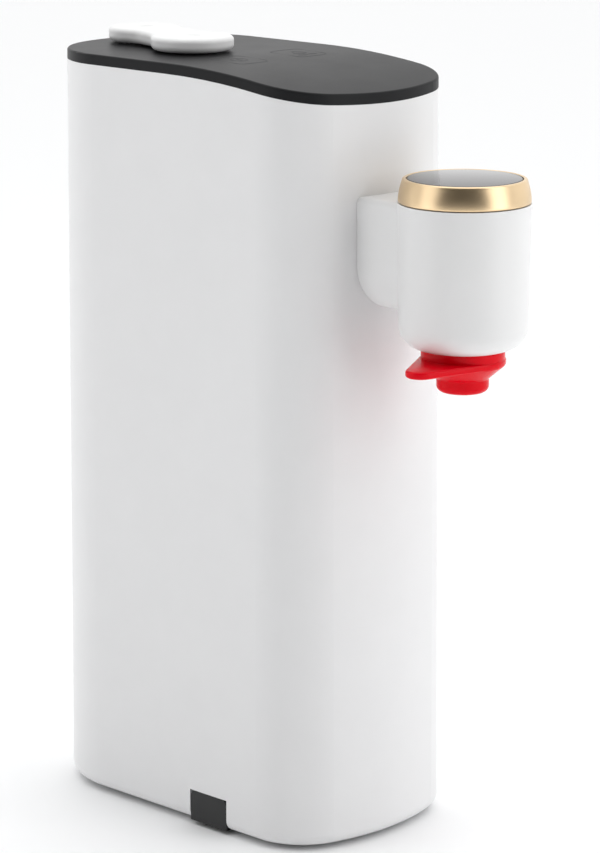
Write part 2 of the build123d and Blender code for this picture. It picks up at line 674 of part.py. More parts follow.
def make_button():
    """The glass, its plunger and spring, and the board with the switch below them."""
    glass_low = HEAD_TOP - GLASS_T
    skirt_r = GLASS_R + SLIP - RING_LEDGE_W - CARRIER_WALL - SLIP
    board_top = BOARD_LEDGE + BOARD_T
    boss_low = board_top + SWITCH_H + BUTTON_TRAVEL + SEAT
    with BuildPart() as glass:
        add(disc(glass_low, GLASS_T, GLASS_R, at=(0, HEAD_Y)))
        fillet(glass.edges().group_by(Axis.Z)[-1], GLASS_EDGE_R)
    save(glass, "display_glass")
    with BuildPart() as plunger:
        add(disc(glass_low - PLUNGER_T, PLUNGER_T, skirt_r, at=(0, HEAD_Y)))
        skirt_low = board_top + PLUNGER_T
        add(disc(skirt_low, glass_low - skirt_low, skirt_r, skirt_r - PLUNGER_T, (0, HEAD_Y)))
        add(disc(boss_low, glass_low - boss_low, BOSS_R, at=(0, HEAD_Y)))
    save(plunger, "button_plunger")
    with BuildPart() as board:
        add(disc(BOARD_LEDGE, BOARD_T, HEAD_R - HEAD_WALL - 4 * SEAT, at=(0, HEAD_Y)))
        add(disc(BOARD_LEDGE, BOARD_T, WIRE_HOLE_R, at=(0, HEAD_Y + HEAD_R / 2)), mode=Mode.SUBTRACT)
    save(board, "display_board")
    with BuildPart() as switch:
        half = BOSS_R + SEAT
        add(block((-half, half), (HEAD_Y - half, HEAD_Y + half), (board_top, board_top + SWITCH_H)))
    save(switch, "button_switch")
    spring_h = glass_low - PLUNGER_T - board_top
    with BuildPart() as spring:
        with BuildLine() as coil:
            Helix(spring_h / SPRING_TURNS, spring_h - 2 * SPRING_WIRE_R, SPRING_R,
                  center=(0, HEAD_Y, board_top + SPRING_WIRE_R))
        with BuildSketch(Plane(origin=coil.line @ 0, z_dir=coil.line % 0)):
            Circle(SPRING_WIRE_R)
        sweep(path=coil.line, is_frenet=True)
    save(spring, "button_spring")


def make_nozzle():
    """The swivelling nozzle with its finger plate, and the pipe, seal and clip inside it."""
    axis = (0, HEAD_Y)
    floor_top = HEAD_BOTTOM + HEAD_FLOOR
    neck_r = COLLAR_R - CLIP_T
    neck_top = floor_top + 2 * CLIP_T
    cone_low = WING_BOTTOM - NOZZLE_CONE_H
    tip = (-WING_TIP + WING_TIP_R, HEAD_Y - WING_OFFSET)
    with BuildPart() as plate:
        with BuildSketch(Plane.XY.offset(WING_BOTTOM)) as wing:
            with Locations(axis):
                Circle(COLLAR_R)
            with Locations(tip):
                Circle(WING_TIP_R)
            with Locations((tip[0] / 2, tip[1])):
                Rectangle(-tip[0], 2 * WING_TIP_R)
            root = wing.vertices().sort_by_distance((-COLLAR_R, tip[1], 0))[:2]
            fillet(root, WING_ROOT_R)
        extrude(amount=WING_T)
        fillet(plate.edges().group_by(Axis.Z)[0], WING_EDGE_R)
        fillet(plate.edges().group_by(Axis.Z)[-1], WING_EDGE_R)
    with BuildPart() as lever:
        add(disc(WING_BOTTOM, floor_top + SLIP / 2 - WING_BOTTOM, COLLAR_R, at=axis))
        add(disc(floor_top, neck_top - floor_top, neck_r, at=axis))
        add(plate.part)
        add(turned([(0, cone_low), (NOZZLE_R, cone_low), (COLLAR_R, WING_BOTTOM), (0, WING_BOTTOM)]))
        add(disc(NOZZLE_END, cone_low - NOZZLE_END, NOZZLE_R, at=axis))
        fillet(lever.edges().group_by(Axis.Z)[0], NOZZLE_LIP_R)
        add(disc(NOZZLE_END, neck_top - NOZZLE_END, CORE_R + RUN, at=axis), mode=Mode.SUBTRACT)
        seal_low = neck_top - 3 * SEAL_R
        add(disc(seal_low, neck_top - seal_low, CORE_R + 2 * SEAL_R + 2 * SEAT, at=axis), mode=Mode.SUBTRACT)
    save(lever, "nozzle_lever")
    with BuildPart() as clip:
        add(disc(floor_top + SLIP, CLIP_T, COLLAR_R + 2 * SLIP, neck_r, axis))
    save(clip, "nozzle_clip")
    with BuildPart() as seal:
        with Locations((*axis, neck_top - 3 * SEAL_R / 2)):
            Torus(CORE_R + SEAL_R, SEAL_R)
    save(seal, "nozzle_seal")
    with BuildPart() as core:
        add(disc(NOZZLE_END + CORE_RECESS, CORE_TOP - NOZZLE_END - CORE_RECESS, CORE_R, at=axis))
        add(disc(CORE_LEDGE, CORE_PLATE_T, HEAD_R - HEAD_WALL - LEDGE_W / 2, at=axis))
        add(disc(CORE_TOP, BARB_L, TUBE_BORE_R, at=axis))
        add(disc(NOZZLE_END, CORE_TOP - NOZZLE_END - CORE_PLATE_T, CORE_BORE_R, at=axis), mode=Mode.SUBTRACT)
        add(disc(NOZZLE_END, CORE_TOP + BARB_L - NOZZLE_END, BARB_BORE_R, at=axis), mode=Mode.SUBTRACT)
    save(core, "outlet_pipe")


# ---------------------------------------------------------------- works inside the casing
def make_inner_frame():
    """Upright frame: a spine on a screwed-down foot, with pegs for the boards."""
    half = SPINE_W / 2
    peg_y = SPINE_Y + SPINE_T
    with BuildPart() as frame:
        add(block((-half, half), (SPINE_Y, peg_y), (BASE_FLANGE_TOP, SPINE_TOP)))
        foot_y = (SPINE_Y - FOOT_REACH, peg_y + FOOT_REACH)
        add(block((-half, half), foot_y, (BASE_FLANGE_TOP, BASE_FLANGE_TOP + FRAME_FOOT_T)))
        for low, high in (POWER_Z, CONTROL_Z):
            for x in (-BOARD_W / 2 + 2 * PIN_R, BOARD_W / 2 - 2 * PIN_R):
                for z in (low + 2 * PIN_R, high - 2 * PIN_R):
                    add(bar(peg_y + PEG_L, peg_y, PIN_R, z, x))
        for x, y in SCREW_PLACES:
            add(disc(BASE_FLANGE_TOP, FRAME_FOOT_T, SCREW_R, at=(x, y)), mode=Mode.SUBTRACT)
        window_x = half - SPINE_RIB
        add(block((-window_x, window_x), (SPINE_Y, peg_y), SPINE_WINDOW), mode=Mode.SUBTRACT)
    save(frame, "inner_frame")


def make_heater():
    """Flow-through heater: barrel, two end caps, two clamps and a thermostat."""
    at = (0, HEATER_Y)
    with BuildPart() as barrel:
        add(disc(HEATER_Z, HEATER_L, HEATER_R, HEATER_R - HEATER_WALL, at))
    save(barrel, "heater_barrel")
    cap_r = HEATER_R + HEATER_WALL
    with BuildPart() as lower:
        add(disc(HEATER_Z - HEATER_CAP_T, HEATER_CAP_T, cap_r, at=at))
        add(disc(HEATER_Z - HEATER_CAP_T - BARB_L, BARB_L, TUBE_BORE_R, at=at))
        add(disc(0, HEATER_Z, BARB_BORE_R, at=at), mode=Mode.SUBTRACT)
    save(lower, "heater_lower_cap")
    with BuildPart() as upper:
        add(disc(HEATER_TOP, HEATER_CAP_T, cap_r, at=at))
        add(disc(HEATER_TOP + HEATER_CAP_T, HEATER_RISE, TUBE_BORE_R, at=at))
        add(disc(HEATER_TOP, BODY_H, BARB_BORE_R, at=at), mode=Mode.SUBTRACT)
    save(upper, "heater_upper_cap")
    with BuildPart() as clamps:
        for z in (HEATER_Z + CLAMP_H, HEATER_TOP - 2 * CLAMP_H):
            add(disc(z, CLAMP_H, HEATER_R + CLAMP_T, at=at))
            add(block((-CLAMP_H, CLAMP_H), (HEATER_Y + HEATER_R / 2, SPINE_Y), (z, z + CLAMP_H)))
            add(disc(z, CLAMP_H, HEATER_R, at=at), mode=Mode.SUBTRACT)
    save(clamps, "heater_clamps")
    middle = HEATER_Z + HEATER_L / 2
    back = HEATER_Y - HEATER_R / 2
    with BuildPart() as thermostat:
        add(bar(back, HEATER_Y - HEATER_R - THERMOSTAT_T, THERMOSTAT_R, middle))
        add(disc(HEATER_Z, HEATER_L, HEATER_R, at=at), mode=Mode.SUBTRACT)
    save(thermostat, "thermostat")


def make_pump():
    """Motor on a rubber block, pump housing above it, and the rotor and shaft inside."""
    at = (0, MOTOR_Y)
    floor = PUMP_Z + PUMP_WALL
    roof = PUMP_Z + PUMP_H - PUMP_WALL
    with BuildPart() as mount:
        add(disc(BASE_FLANGE_TOP, MOUNT_T, MOTOR_R + CLAMP_T, at=at))
    save(mount, "motor_mount")
    with BuildPart() as motor:
        add(disc(MOTOR_Z, MOTOR_L, MOTOR_R, at=at))
        add(disc(MOTOR_Z + MOTOR_L / 2, MOTOR_L, SHAFT_R + RUN, at=at), mode=Mode.SUBTRACT)
    save(motor, "pump_motor")
    with BuildPart() as housing:
        add(disc(PUMP_Z, PUMP_H, PUMP_R, at=at))
        add(disc(PUMP_Z + PUMP_H, BARB_L, TUBE_BORE_R, at=at))
        with BuildSketch(Plane.YZ.offset(PUMP_R - PUMP_WALL)):
            with Locations((MOTOR_Y, PUMP_Z + PUMP_H / 2)):
                Circle(TUBE_BORE_R)
        extrude(amount=BARB_L / 2 + PUMP_WALL)
        add(disc(floor, roof - floor, ROTOR_R + SLIP, at=at), mode=Mode.SUBTRACT)
        add(disc(PUMP_Z, PUMP_H / 2, SHAFT_R + RUN, at=at), mode=Mode.SUBTRACT)
        add(disc(roof - SEAT, PUMP_H, BARB_BORE_R, at=at), mode=Mode.SUBTRACT)
        with BuildSketch(Plane.YZ.offset(ROTOR_R)):
            with Locations((MOTOR_Y, PUMP_Z + PUMP_H / 2)):
                Circle(BARB_BORE_R)
        extrude(amount=PUMP_R, mode=Mode.SUBTRACT)
    save(housing, "pump_housing")
    with BuildPart() as rotor:
        add(disc(MOTOR_Z + MOTOR_L / 2 + SLIP, floor + 2 * SLIP - MOTOR_Z - MOTOR_L / 2, SHAFT_R, at=at))
        add(disc(floor + SLIP, ROTOR_DISC_T, ROTOR_R, at=at))
        with BuildSketch(Plane.XY.offset(floor + SLIP)):
            with Locations(at):
                with PolarLocations(ROTOR_R / 2, ROTOR_BLADES):
                    Rectangle(ROTOR_R - 2 * SEAT, ROTOR_DISC_T)
                Circle(SHAFT_R)
        extrude(amount=roof - floor - 2 * SLIP)
    save(rotor, "pump_rotor")


def make_flow_sensor():
    """Flow sensor in the suction line, a block with a pipe stub at each end."""
    half = SENSOR_W / 2
    with BuildPart() as sensor:
        add(block((-half, half), (MOTOR_Y - half, MOTOR_Y + half), (SENSOR_Z, SENSOR_Z + SENSOR_H), CLAMP_T))
        add(disc(SENSOR_Z - BARB_L, SENSOR_H + 2 * BARB_L, TUBE_BORE_R, at=(0, MOTOR_Y)))
        add(disc(SENSOR_Z - BARB_L, SENSOR_H + 2 * BARB_L, BARB_BORE_R, at=(0, MOTOR_Y)), mode=Mode.SUBTRACT)
    save(sensor, "flow_sensor")
    with BuildPart() as bracket:
        arm_y = (SPINE_Y + SPINE_T, MOTOR_Y - half)
        add(block((-BRACKET_W / 2, BRACKET_W / 2), arm_y, (SENSOR_Z, SENSOR_Z + CLAMP_T)))
        add(block((-half, half), (MOTOR_Y - half - CLAMP_T, MOTOR_Y - half), (SENSOR_Z, SENSOR_Z + SENSOR_H)))
    save(bracket, "sensor_bracket")


def make_boards():
    """Power board, control board and touch board, with their larger components."""
    board_y = SPINE_Y + SPINE_T + PEG_L
    half = BOARD_W / 2
    boards = (("power_board", POWER_Z, POWER_PART), ("control_board", CONTROL_Z, CONTROL_PART))
    for label, (low, high), size in boards:
        with BuildPart() as board:
            add(block((-half, half), (board_y, board_y + BOARD_T), (low, high)))
            for x in (-half / 2, half / 2):
                top = high - 2 * PIN_R
                part_y = (board_y + BOARD_T, board_y + BOARD_T + size)
                add(block((x - size / 2, x + size / 2), part_y, (top - size - PIN_R, top)))
        save(board, label)
    (x0, y0), (x1, y1) = BOARD_PINS[0], BOARD_PINS[-1]
    with BuildPart() as touch:
        edge = 2 * PIN_R
        add(block((x0 - edge, x1 + edge), (y0 - edge, y1 + edge), (TOUCH_Z, TOUCH_Z + BOARD_T)))
    save(touch, "touch_board")


def make_tubes():
    """Silicone tubes from the suction union to the pump, the heater and the outlet pipe."""
    union_low = SUCTION_Z - POST_L - UNION_T
    sensor_top = SENSOR_Z + SENSOR_H
    outlet_z = PUMP_Z + PUMP_H / 2
    under_heater = HEATER_Z - HEATER_CAP_T
    with BuildPart() as inlet:
        kink = (union_low + sensor_top) / 2
        runs = [
            (*PIVOT, union_low), (*PIVOT, kink + TUBE_BEND),
            (0, MOTOR_Y, kink - TUBE_BEND), (0, MOTOR_Y, sensor_top),
        ]
        add(tube(runs, TUBE_BEND))
    save(inlet, "inlet_tube")
    with BuildPart() as feed:
        add(tube([(0, MOTOR_Y, SENSOR_Z), (0, MOTOR_Y, PUMP_Z + PUMP_H)], 0))
    save(feed, "pump_tube")
    with BuildPart() as riser:
        low = under_heater - 2 * TUBE_BEND
        side = SPINE_W / 2 + TUBE_R + SLIP
        runs = [
            (PUMP_R, MOTOR_Y, outlet_z), (side, MOTOR_Y, outlet_z), (side, MOTOR_Y, low),
            (side, HEATER_Y, low), (0, HEATER_Y, low), (0, HEATER_Y, under_heater),
        ]
        add(tube(runs, TUBE_BEND_TIGHT))
    save(riser, "heater_tube")
    with BuildPart() as outlet:
        runs = [
            (0, HEATER_Y, HEATER_TOP + HEATER_CAP_T), (0, HEATER_Y, PIPE_Z),
            (0, HEAD_Y, PIPE_Z), (0, HEAD_Y, CORE_TOP),
        ]
        add(tube(runs, TUBE_BEND_TIGHT))
    save(outlet, "outlet_tube")


def make_cord_gland():
    """The grommet that the supply cord goes through."""
    wall_out = REAR_Y - GLAND_Z * TAN_DRAFT
    rim_r = GLAND_R + GLAND_RIM
    rim_y = wall_out - WALL - rim_r**2 / (2 * (REAR_BOW_R - WALL)) - 2 * SEAT
    with BuildPart() as gland:
        add(bar(REAR_Y + GLAND_OUT, wall_out + SEAT, GLAND_FLANGE_R, GLAND_Z))
        fillet(gland.edges().group_by(Axis.Y)[-1], GLAND_OUT / 3)
        add(bar(wall_out + SEAT, wall_out - WALL - GLAND_OUT, GLAND_R, GLAND_Z))
        add(bar(rim_y, wall_out - WALL - GLAND_OUT, rim_r, GLAND_Z))
        add(bar(REAR_Y + GLAND_OUT, 0, GLAND_BORE_R, GLAND_Z), mode=Mode.SUBTRACT)
    save(gland, "cord_gland")


def main():
    """Make every piece and write it."""
    os.makedirs("parts", exist_ok=True)
    make_body_shell()
    make_base_plate()
    make_rubber_feet()
    make_base_screws()
    make_top_lid()
    make_drain_cover()
    make_drain_spigot()
    make_suction_arm()
    make_pivot()
    make_spout_arm()
    make_arm_nut()
    make_head_shell()
    make_dial()
    make_button()
    make_nozzle()
    make_inner_frame()
    make_heater()
    make_pump()
    make_flow_sensor()
    make_boards()
    make_tubes()
    make_cord_gland()


main()
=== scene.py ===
"""Looks of the countertop water dispenser: finishes, fine detail, studio and camera round the frame."""
import logging
import math
from collections.abc import Callable
from dataclasses import dataclass, field
from enum import Enum

import bpy
import numpy as np
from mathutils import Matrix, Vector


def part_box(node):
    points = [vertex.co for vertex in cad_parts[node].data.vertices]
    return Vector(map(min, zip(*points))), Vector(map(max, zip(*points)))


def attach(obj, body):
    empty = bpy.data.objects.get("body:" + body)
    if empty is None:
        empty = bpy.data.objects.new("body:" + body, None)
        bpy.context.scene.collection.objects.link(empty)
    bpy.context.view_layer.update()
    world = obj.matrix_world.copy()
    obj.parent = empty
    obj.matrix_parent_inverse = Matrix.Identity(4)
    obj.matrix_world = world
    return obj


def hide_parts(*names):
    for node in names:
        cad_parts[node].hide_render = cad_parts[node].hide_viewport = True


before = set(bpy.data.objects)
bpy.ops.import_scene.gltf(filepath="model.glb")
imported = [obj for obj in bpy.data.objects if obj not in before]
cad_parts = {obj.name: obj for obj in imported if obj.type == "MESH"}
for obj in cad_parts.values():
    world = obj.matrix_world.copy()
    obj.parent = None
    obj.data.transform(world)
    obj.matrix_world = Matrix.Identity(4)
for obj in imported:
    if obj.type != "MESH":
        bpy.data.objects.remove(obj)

log = logging.getLogger("dispenser")
MM = 0.001
Colour = tuple[float, float, float]
Array = np.ndarray


class Body(Enum):
    """The bodies that a piece can move with."""

    ROOT = "root"
    SUCTION = "suction"
    DIAL = "dial"
    BUTTON = "button"
    NOZZLE = "nozzle"
    DRAIN = "drain"
    PUMP = "pump"


class Slot(Enum):
    """The record's material slots, one named with each new piece."""

    DARK = "dark_plastic"
    GOLD = "gold_metal"
    GLASS = "dark_glass"
    RED = "red_plastic"


# ---------------------------------------------------------------- shader graphs
class Wire:
    """An output socket that takes part in Python arithmetic; each operation adds one Math node."""

    def __init__(self, graph: "Graph", socket: bpy.types.NodeSocket) -> None:
        """Args: graph: the graph it belongs to. socket: the output it stands for."""
        self.graph = graph
        self.socket = socket

    def _math(self, operation: str, *values: "Wire | float") -> "Wire":
        """One Math node.

        Args:
            operation: its operation.
            values: its inputs in order.
        Returns:
            The node's result.
        """
        return self.graph.node("ShaderNodeMath", {"operation": operation}, dict(enumerate(values)))

    def __add__(self, other: "Wire | float") -> "Wire":
        """self + other."""
        return self._math("ADD", self, other)

    __radd__ = __add__

    def __sub__(self, other: "Wire | float") -> "Wire":
        """self - other."""
        return self._math("SUBTRACT", self, other)

    def __rsub__(self, other: float) -> "Wire":
        """other - self."""
        return self._math("SUBTRACT", other, self)

    def __mul__(self, other: "Wire | float") -> "Wire":
        """self * other."""
        return self._math("MULTIPLY", self, other)

    __rmul__ = __mul__

    def __truediv__(self, other: "Wire | float") -> "Wire":
        """self / other."""
        return self._math("DIVIDE", self, other)

    def __pow__(self, other: float) -> "Wire":
        """self to a power."""
        return self._math("POWER", self, other)

    def sine(self) -> "Wire":
        """Sine of an angle in radians."""
        return self._math("SINE", self)

    def above(self, limit: float) -> "Wire":
        """1 where the value is above the limit, else 0."""
        return self._math("GREATER_THAN", self, limit)

    def absolute(self) -> "Wire":
        """The value without its sign."""
        return self._math("ABSOLUTE", self)


class Graph:
    """The node graph of one material."""

    def __init__(self, name: str) -> None:
        """Args: name: the material's name."""
        self.material = bpy.data.materials.new(name)
        self.material.use_nodes = True
        self.tree = self.material.node_tree
        self.tree.nodes.clear()

    def node(self, kind: str, settings: dict | None = None, inputs: dict | None = None,
             output: int | str = 0) -> Wire:
        """Adds a node.

        Args:
            kind: the node's type.
            settings: its settings, set first; "stops" are a ramp's (position, colour) pairs.
            inputs: a value or a Wire for each input named or numbered.
            output: the output that is wanted.
        Returns:
            That output.
        """
        made = self.tree.nodes.new(kind)
        for key, value in (settings or {}).items():
            if key == "stops":
                ramp = made.color_ramp
                while len(ramp.elements) < len(value):
                    ramp.elements.new(1.0)
                for element, (position, colour) in zip(ramp.elements, value):
                    element.position = position
                    element.color = (*colour, 1.0)
            else:
                setattr(made, key, value)
        for key, value in (inputs or {}).items():
            socket = made.inputs[key]
            if isinstance(value, Wire):
                self.tree.links.new(value.socket, socket)
            elif socket.type == "RGBA" and len(value) == 3:
                socket.default_value = (*value, 1.0)
            else:
                socket.default_value = value
        return Wire(self, made.outputs[output])

    def place(self, centre: tuple[float, float, float] = (0.0, 0.0, 0.0)) -> Wire:
        """Object coordinates counted from a centre.

        Args:
            centre: the place that becomes zero, in metres.
        Returns:
            The coordinates, in metres.
        """
        here = self.node("ShaderNodeTexCoord", output="Object")
        if centre == (0.0, 0.0, 0.0):
            return here
        away = tuple(-value for value in centre)
        return self.node("ShaderNodeMapping", {"vector_type": "POINT"}, {"Vector": here, "Location": away})

    def parts(self, vector: Wire) -> tuple[Wire, Wire, Wire]:
        """Takes a vector apart.

        Args:
            vector: the vector.
        Returns:
            Its x, y and z.
        """
        apart = self.node("ShaderNodeSeparateXYZ", None, {0: vector})
        outputs = apart.socket.node.outputs
        return Wire(self, outputs[0]), Wire(self, outputs[1]), Wire(self, outputs[2])

    def joined(self, x: Wire | float, y: Wire | float, z: Wire | float) -> Wire:
        """A vector from x, y and z."""
        return self.node("ShaderNodeCombineXYZ", None, {0: x, 1: y, 2: z})

    def noise(self, vector: Wire, size: float, detail: float = 2.0, roughness: float = 0.5) -> Wire:
        """Smooth noise between 0 and 1.

        Args:
            vector: where it is read.
            size: size of its spots, in the vector's units.
            detail: number of finer layers.
            roughness: strength of those layers.
        Returns:
            The noise value.
        """
        values = {"Vector": vector, "Scale": 1.0 / size, "Detail": detail, "Roughness": roughness}
        return self.node("ShaderNodeTexNoise", None, values)

    def cells(self, vector: Wire, size: float) -> Wire:
        """Distance to the nearest of random points, about one for each cell of that size."""
        return self.node("ShaderNodeTexVoronoi", None, {"Vector": vector, "Scale": 1.0 / size})

    def mix(self, factor: Wire, low: Wire | Colour, high: Wire | Colour) -> Wire:
        """A colour between low, at factor 0, and high, at factor 1."""
        return self.node("ShaderNodeMix", {"data_type": "RGBA"}, {0: factor, 6: low, 7: high}, 2)

    def bump(self, height: Wire, depth: float, strength: float = 1.0, below: Wire | None = None) -> Wire:
        """A normal from a height.

        Args:
            height: the relief, about 0 to 1.
            depth: its depth in metres.
            strength: how much of it counts.
            below: a coarser bump that it lies on.
        Returns:
            The bent normal.
        """
        inputs = {"Height": height, "Distance": depth, "Strength": strength}
        if below is not None:
            inputs["Normal"] = below
        return self.node("ShaderNodeBump", None, inputs)

    def surface(self, **sockets: "Wire | float | Colour") -> bpy.types.Material:
        """Ends the graph in a Principled shader.

        Args:
            sockets: its inputs by name, with _ for a space.
        Returns:
            The finished material.
        """
        named = {key.replace("_", " "): value for key, value in sockets.items()}
        shader = self.node("ShaderNodeBsdfPrincipled", None, named)
        end = self.tree.nodes.new("ShaderNodeOutputMaterial")
        self.tree.links.new(shader.socket, end.inputs["Surface"])
        return self.material


def tinted(colour: Colour, factor: float) -> Colour:
    """A colour made lighter or darker by a factor."""
    return tuple(min(1.0, channel * factor) for channel in colour)


# ---------------------------------------------------------------- finishes
@dataclass(frozen=True)
class MouldedPlastic:
    """Moulded plastic: spark-eroded grain, slow waviness of the wall, and clouds in its colour and gloss."""

    name: str
    colour: Colour
    roughness: float
    grain: float = 0.45 * MM
    depth: float = 0.010 * MM
    wave: float = 26 * MM
    wave_depth: float = 0.05 * MM
    cloud_size: float = 15.6 * MM
    cloud: float = 0.02
    cloud_gloss: float = 0.06
    grain_gloss: float = 0.10
    specular: float = 0.5

    def make(self) -> bpy.types.Material:
        """Makes the material: grain and waviness bend the normal, clouds shade the colour and the gloss.

        Returns:
            The material.
        """
        g = Graph(self.name)
        here = g.place()
        grain = g.noise(here, self.grain, 3.0, 0.6)
        slow = g.noise(here, self.wave, 1.0, 0.4)
        clouds = g.noise(here, self.cloud_size, 3.0, 0.55)
        colour = g.mix(clouds, tinted(self.colour, 1 - self.cloud), tinted(self.colour, 1 + self.cloud))
        roughness = self.roughness + (clouds - 0.5) * self.cloud_gloss + (grain - 0.5) * self.grain_gloss
        normal = g.bump(grain, self.depth, 1.0, g.bump(slow, self.wave_depth))
        return g.surface(Base_Color=colour, Roughness=roughness, Normal=normal,
                         Specular_IOR_Level=self.specular)


@dataclass(frozen=True)
class SatinMetal:
    """Metal turned on a lathe, then blasted: fine rings round an upright axis under a soft grain."""

    name: str
    colour: Colour
    roughness: float
    axis: tuple[float, float]
    line: float = 0.10 * MM
    line_depth: float = 0.002 * MM
    line_gloss: float = 0.08
    grain: float = 0.12 * MM
    grain_depth: float = 0.002 * MM
    grain_gloss: float = 0.10
    cloud_size: float = 9 * MM
    shades: tuple[float, float] = (0.95, 1.04)

    def make(self) -> bpy.types.Material:
        """Makes the material: the rings are noise over radius and height only, so they run round the axis.

        Returns:
            The material.
        """
        g = Graph(self.name)
        here = g.place((*self.axis, 0.0))
        x, y, z = g.parts(here)
        radius = (x * x + y * y) ** 0.5
        rings = g.noise(g.joined(radius, z, 0.0), self.line, 2.0, 0.7)
        blast = g.noise(here, self.grain, 2.0, 0.6)
        clouds = g.noise(here, self.cloud_size, 2.0)
        colour = g.mix(clouds, *(tinted(self.colour, shade) for shade in self.shades))
        roughness = self.roughness + (rings - 0.5) * self.line_gloss + (blast - 0.5) * self.grain_gloss
        normal = g.bump(blast, self.grain_depth, 1.0, g.bump(rings, self.line_depth))
        return g.surface(Base_Color=colour, Metallic=1.0, Roughness=roughness, Normal=normal)


@dataclass(frozen=True)
class PrintedGlass:
    """Display glass, printed dark on its back: a deep gloss with a faint film of wiping marks."""

    name: str
    colour: Colour
    axis: tuple[float, float]
    border: float
    border_shade: float = 0.12
    border_gloss: float = 0.04
    roughness: float = 0.05
    film_size: float = 5 * MM
    film_stretch: float = 0.4
    film_depth: float = 0.002 * MM
    film_gloss: float = 0.03
    speck: float = 0.3 * MM
    speck_depth: float = 0.0004 * MM
    shades: tuple[float, float] = (0.88, 1.12)

    def make(self) -> bpy.types.Material:
        """Makes the material: a darker print outside the border's radius, and soft marks in the gloss.

        Returns:
            The material.
        """
        g = Graph(self.name)
        here = g.place((*self.axis, 0.0))
        x, y, _ = g.parts(here)
        radius = (x * x + y * y) ** 0.5
        edge = radius.above(self.border)
        film = g.noise(g.joined(x * self.film_stretch, y, 0.0), self.film_size, 3.0, 0.6)
        speck = g.noise(here, self.speck, 2.0)
        shade = g.mix(film, *(tinted(self.colour, factor) for factor in self.shades))
        colour = g.mix(edge, shade, tinted(self.colour, self.border_shade))
        roughness = self.roughness + film * self.film_gloss + edge * self.border_gloss
        normal = g.bump(speck, self.speck_depth, 1.0, g.bump(film, self.film_depth))
        return g.surface(Base_Color=colour, Roughness=roughness, Normal=normal)


@dataclass(frozen=True)
class Rubber:
    """Matt moulded rubber with a pebbled face and a little dust bloom."""

    name: str
    colour: Colour
    roughness: float = 0.62
    pebble: float = 0.5 * MM
    pebble_depth: float = 0.02 * MM
    bloom_size: float = 7 * MM
    bloom_gloss: float = 0.18
    shades: tuple[float, float] = (0.82, 1.22)

    def make(self) -> bpy.types.Material:
        """Makes the material: pebbles are cells under noise, and the bloom is a slow lightening.

        Returns:
            The material.
        """
        g = Graph(self.name)
        here = g.place()
        pebbles = g.cells(here, self.pebble) * 0.6 + g.noise(here, self.pebble * 0.7, 2.0) * 0.4
        bloom = g.noise(here, self.bloom_size, 4.0, 0.6)
        colour = g.mix(bloom, *(tinted(self.colour, shade) for shade in self.shades))
        roughness = self.roughness + (bloom - 0.5) * self.bloom_gloss
        return g.surface(Base_Color=colour, Roughness=roughness, Normal=g.bump(pebbles, self.pebble_depth))


@dataclass(frozen=True)
class DrawnSteel:
    """Stainless steel drawn lengthways: streaks along one axis and faint stains from heat or handling."""

    name: str
    colour: Colour
    roughness: float
    along: tuple[float, float, float] = (1.0, 1.0, 0.05)
    streak: float = 0.25 * MM
    streak_depth: float = 0.004 * MM
    streak_gloss: float = 0.16
    stain: Colour = (0.55, 0.48, 0.38)
    stained: float = 0.2
    stain_size: float = 14 * MM
    stain_gloss: float = 0.1

    def make(self) -> bpy.types.Material:
        """Makes the material: streaks are noise stretched along the draw.

        Returns:
            The material.
        """
        g = Graph(self.name)
        here = g.place()
        drawn = g.node("ShaderNodeVectorMath", {"operation": "MULTIPLY"}, {0: here, 1: self.along})
        streaks = g.noise(drawn, self.streak, 3.0, 0.6)
        stains = g.noise(here, self.stain_size, 4.0, 0.6)
        colour = g.mix(stains * self.stained, self.colour, self.stain)
        roughness = self.roughness + (streaks - 0.5) * self.streak_gloss + (stains - 0.5) * self.stain_gloss
        return g.surface(Base_Color=colour, Metallic=1.0, Roughness=roughness,
                         Normal=g.bump(streaks, self.streak_depth))


@dataclass(frozen=True)
class CircuitBoard:
    """A green solder mask over copper tracks, with a woven glass core at the edges."""

    name: str
    mask: Colour = (0.01, 0.10, 0.04)
    copper: Colour = (0.06, 0.26, 0.10)
    pitch: float = 2.2 * MM
    bend_size: float = 9 * MM
    bend: float = 8.0
    track_limit: float = 0.55
    track_depth: float = 0.02 * MM
    weave: float = 0.5 * MM
    weave_depth: float = 0.004 * MM
    roughness: float = 0.32
    weave_gloss: float = 0.12

    def make(self) -> bpy.types.Material:
        """Makes the material: tracks are bands where a wave, bent by slow noise, passes its limit.

        Returns:
            The material.
        """
        g = Graph(self.name)
        here = g.place()
        x, y, z = g.parts(here)
        bend = g.noise(here, self.bend_size, 1.0) * self.bend
        slanted = ((x + y) * (2 * math.pi / self.pitch) + bend).sine()
        upright = ((z - y) * (math.pi / self.pitch)).sine()
        lit = (slanted * upright).absolute().above(self.track_limit)
        colour = g.mix(lit, self.mask, self.copper)
        weave = g.noise(here, self.weave, 2.0)
        normal = g.bump(lit, self.track_depth, 0.6, g.bump(weave, self.weave_depth))
        return g.surface(Base_Color=colour, Roughness=self.roughness + (weave - 0.5) * self.weave_gloss,
                         Normal=normal)


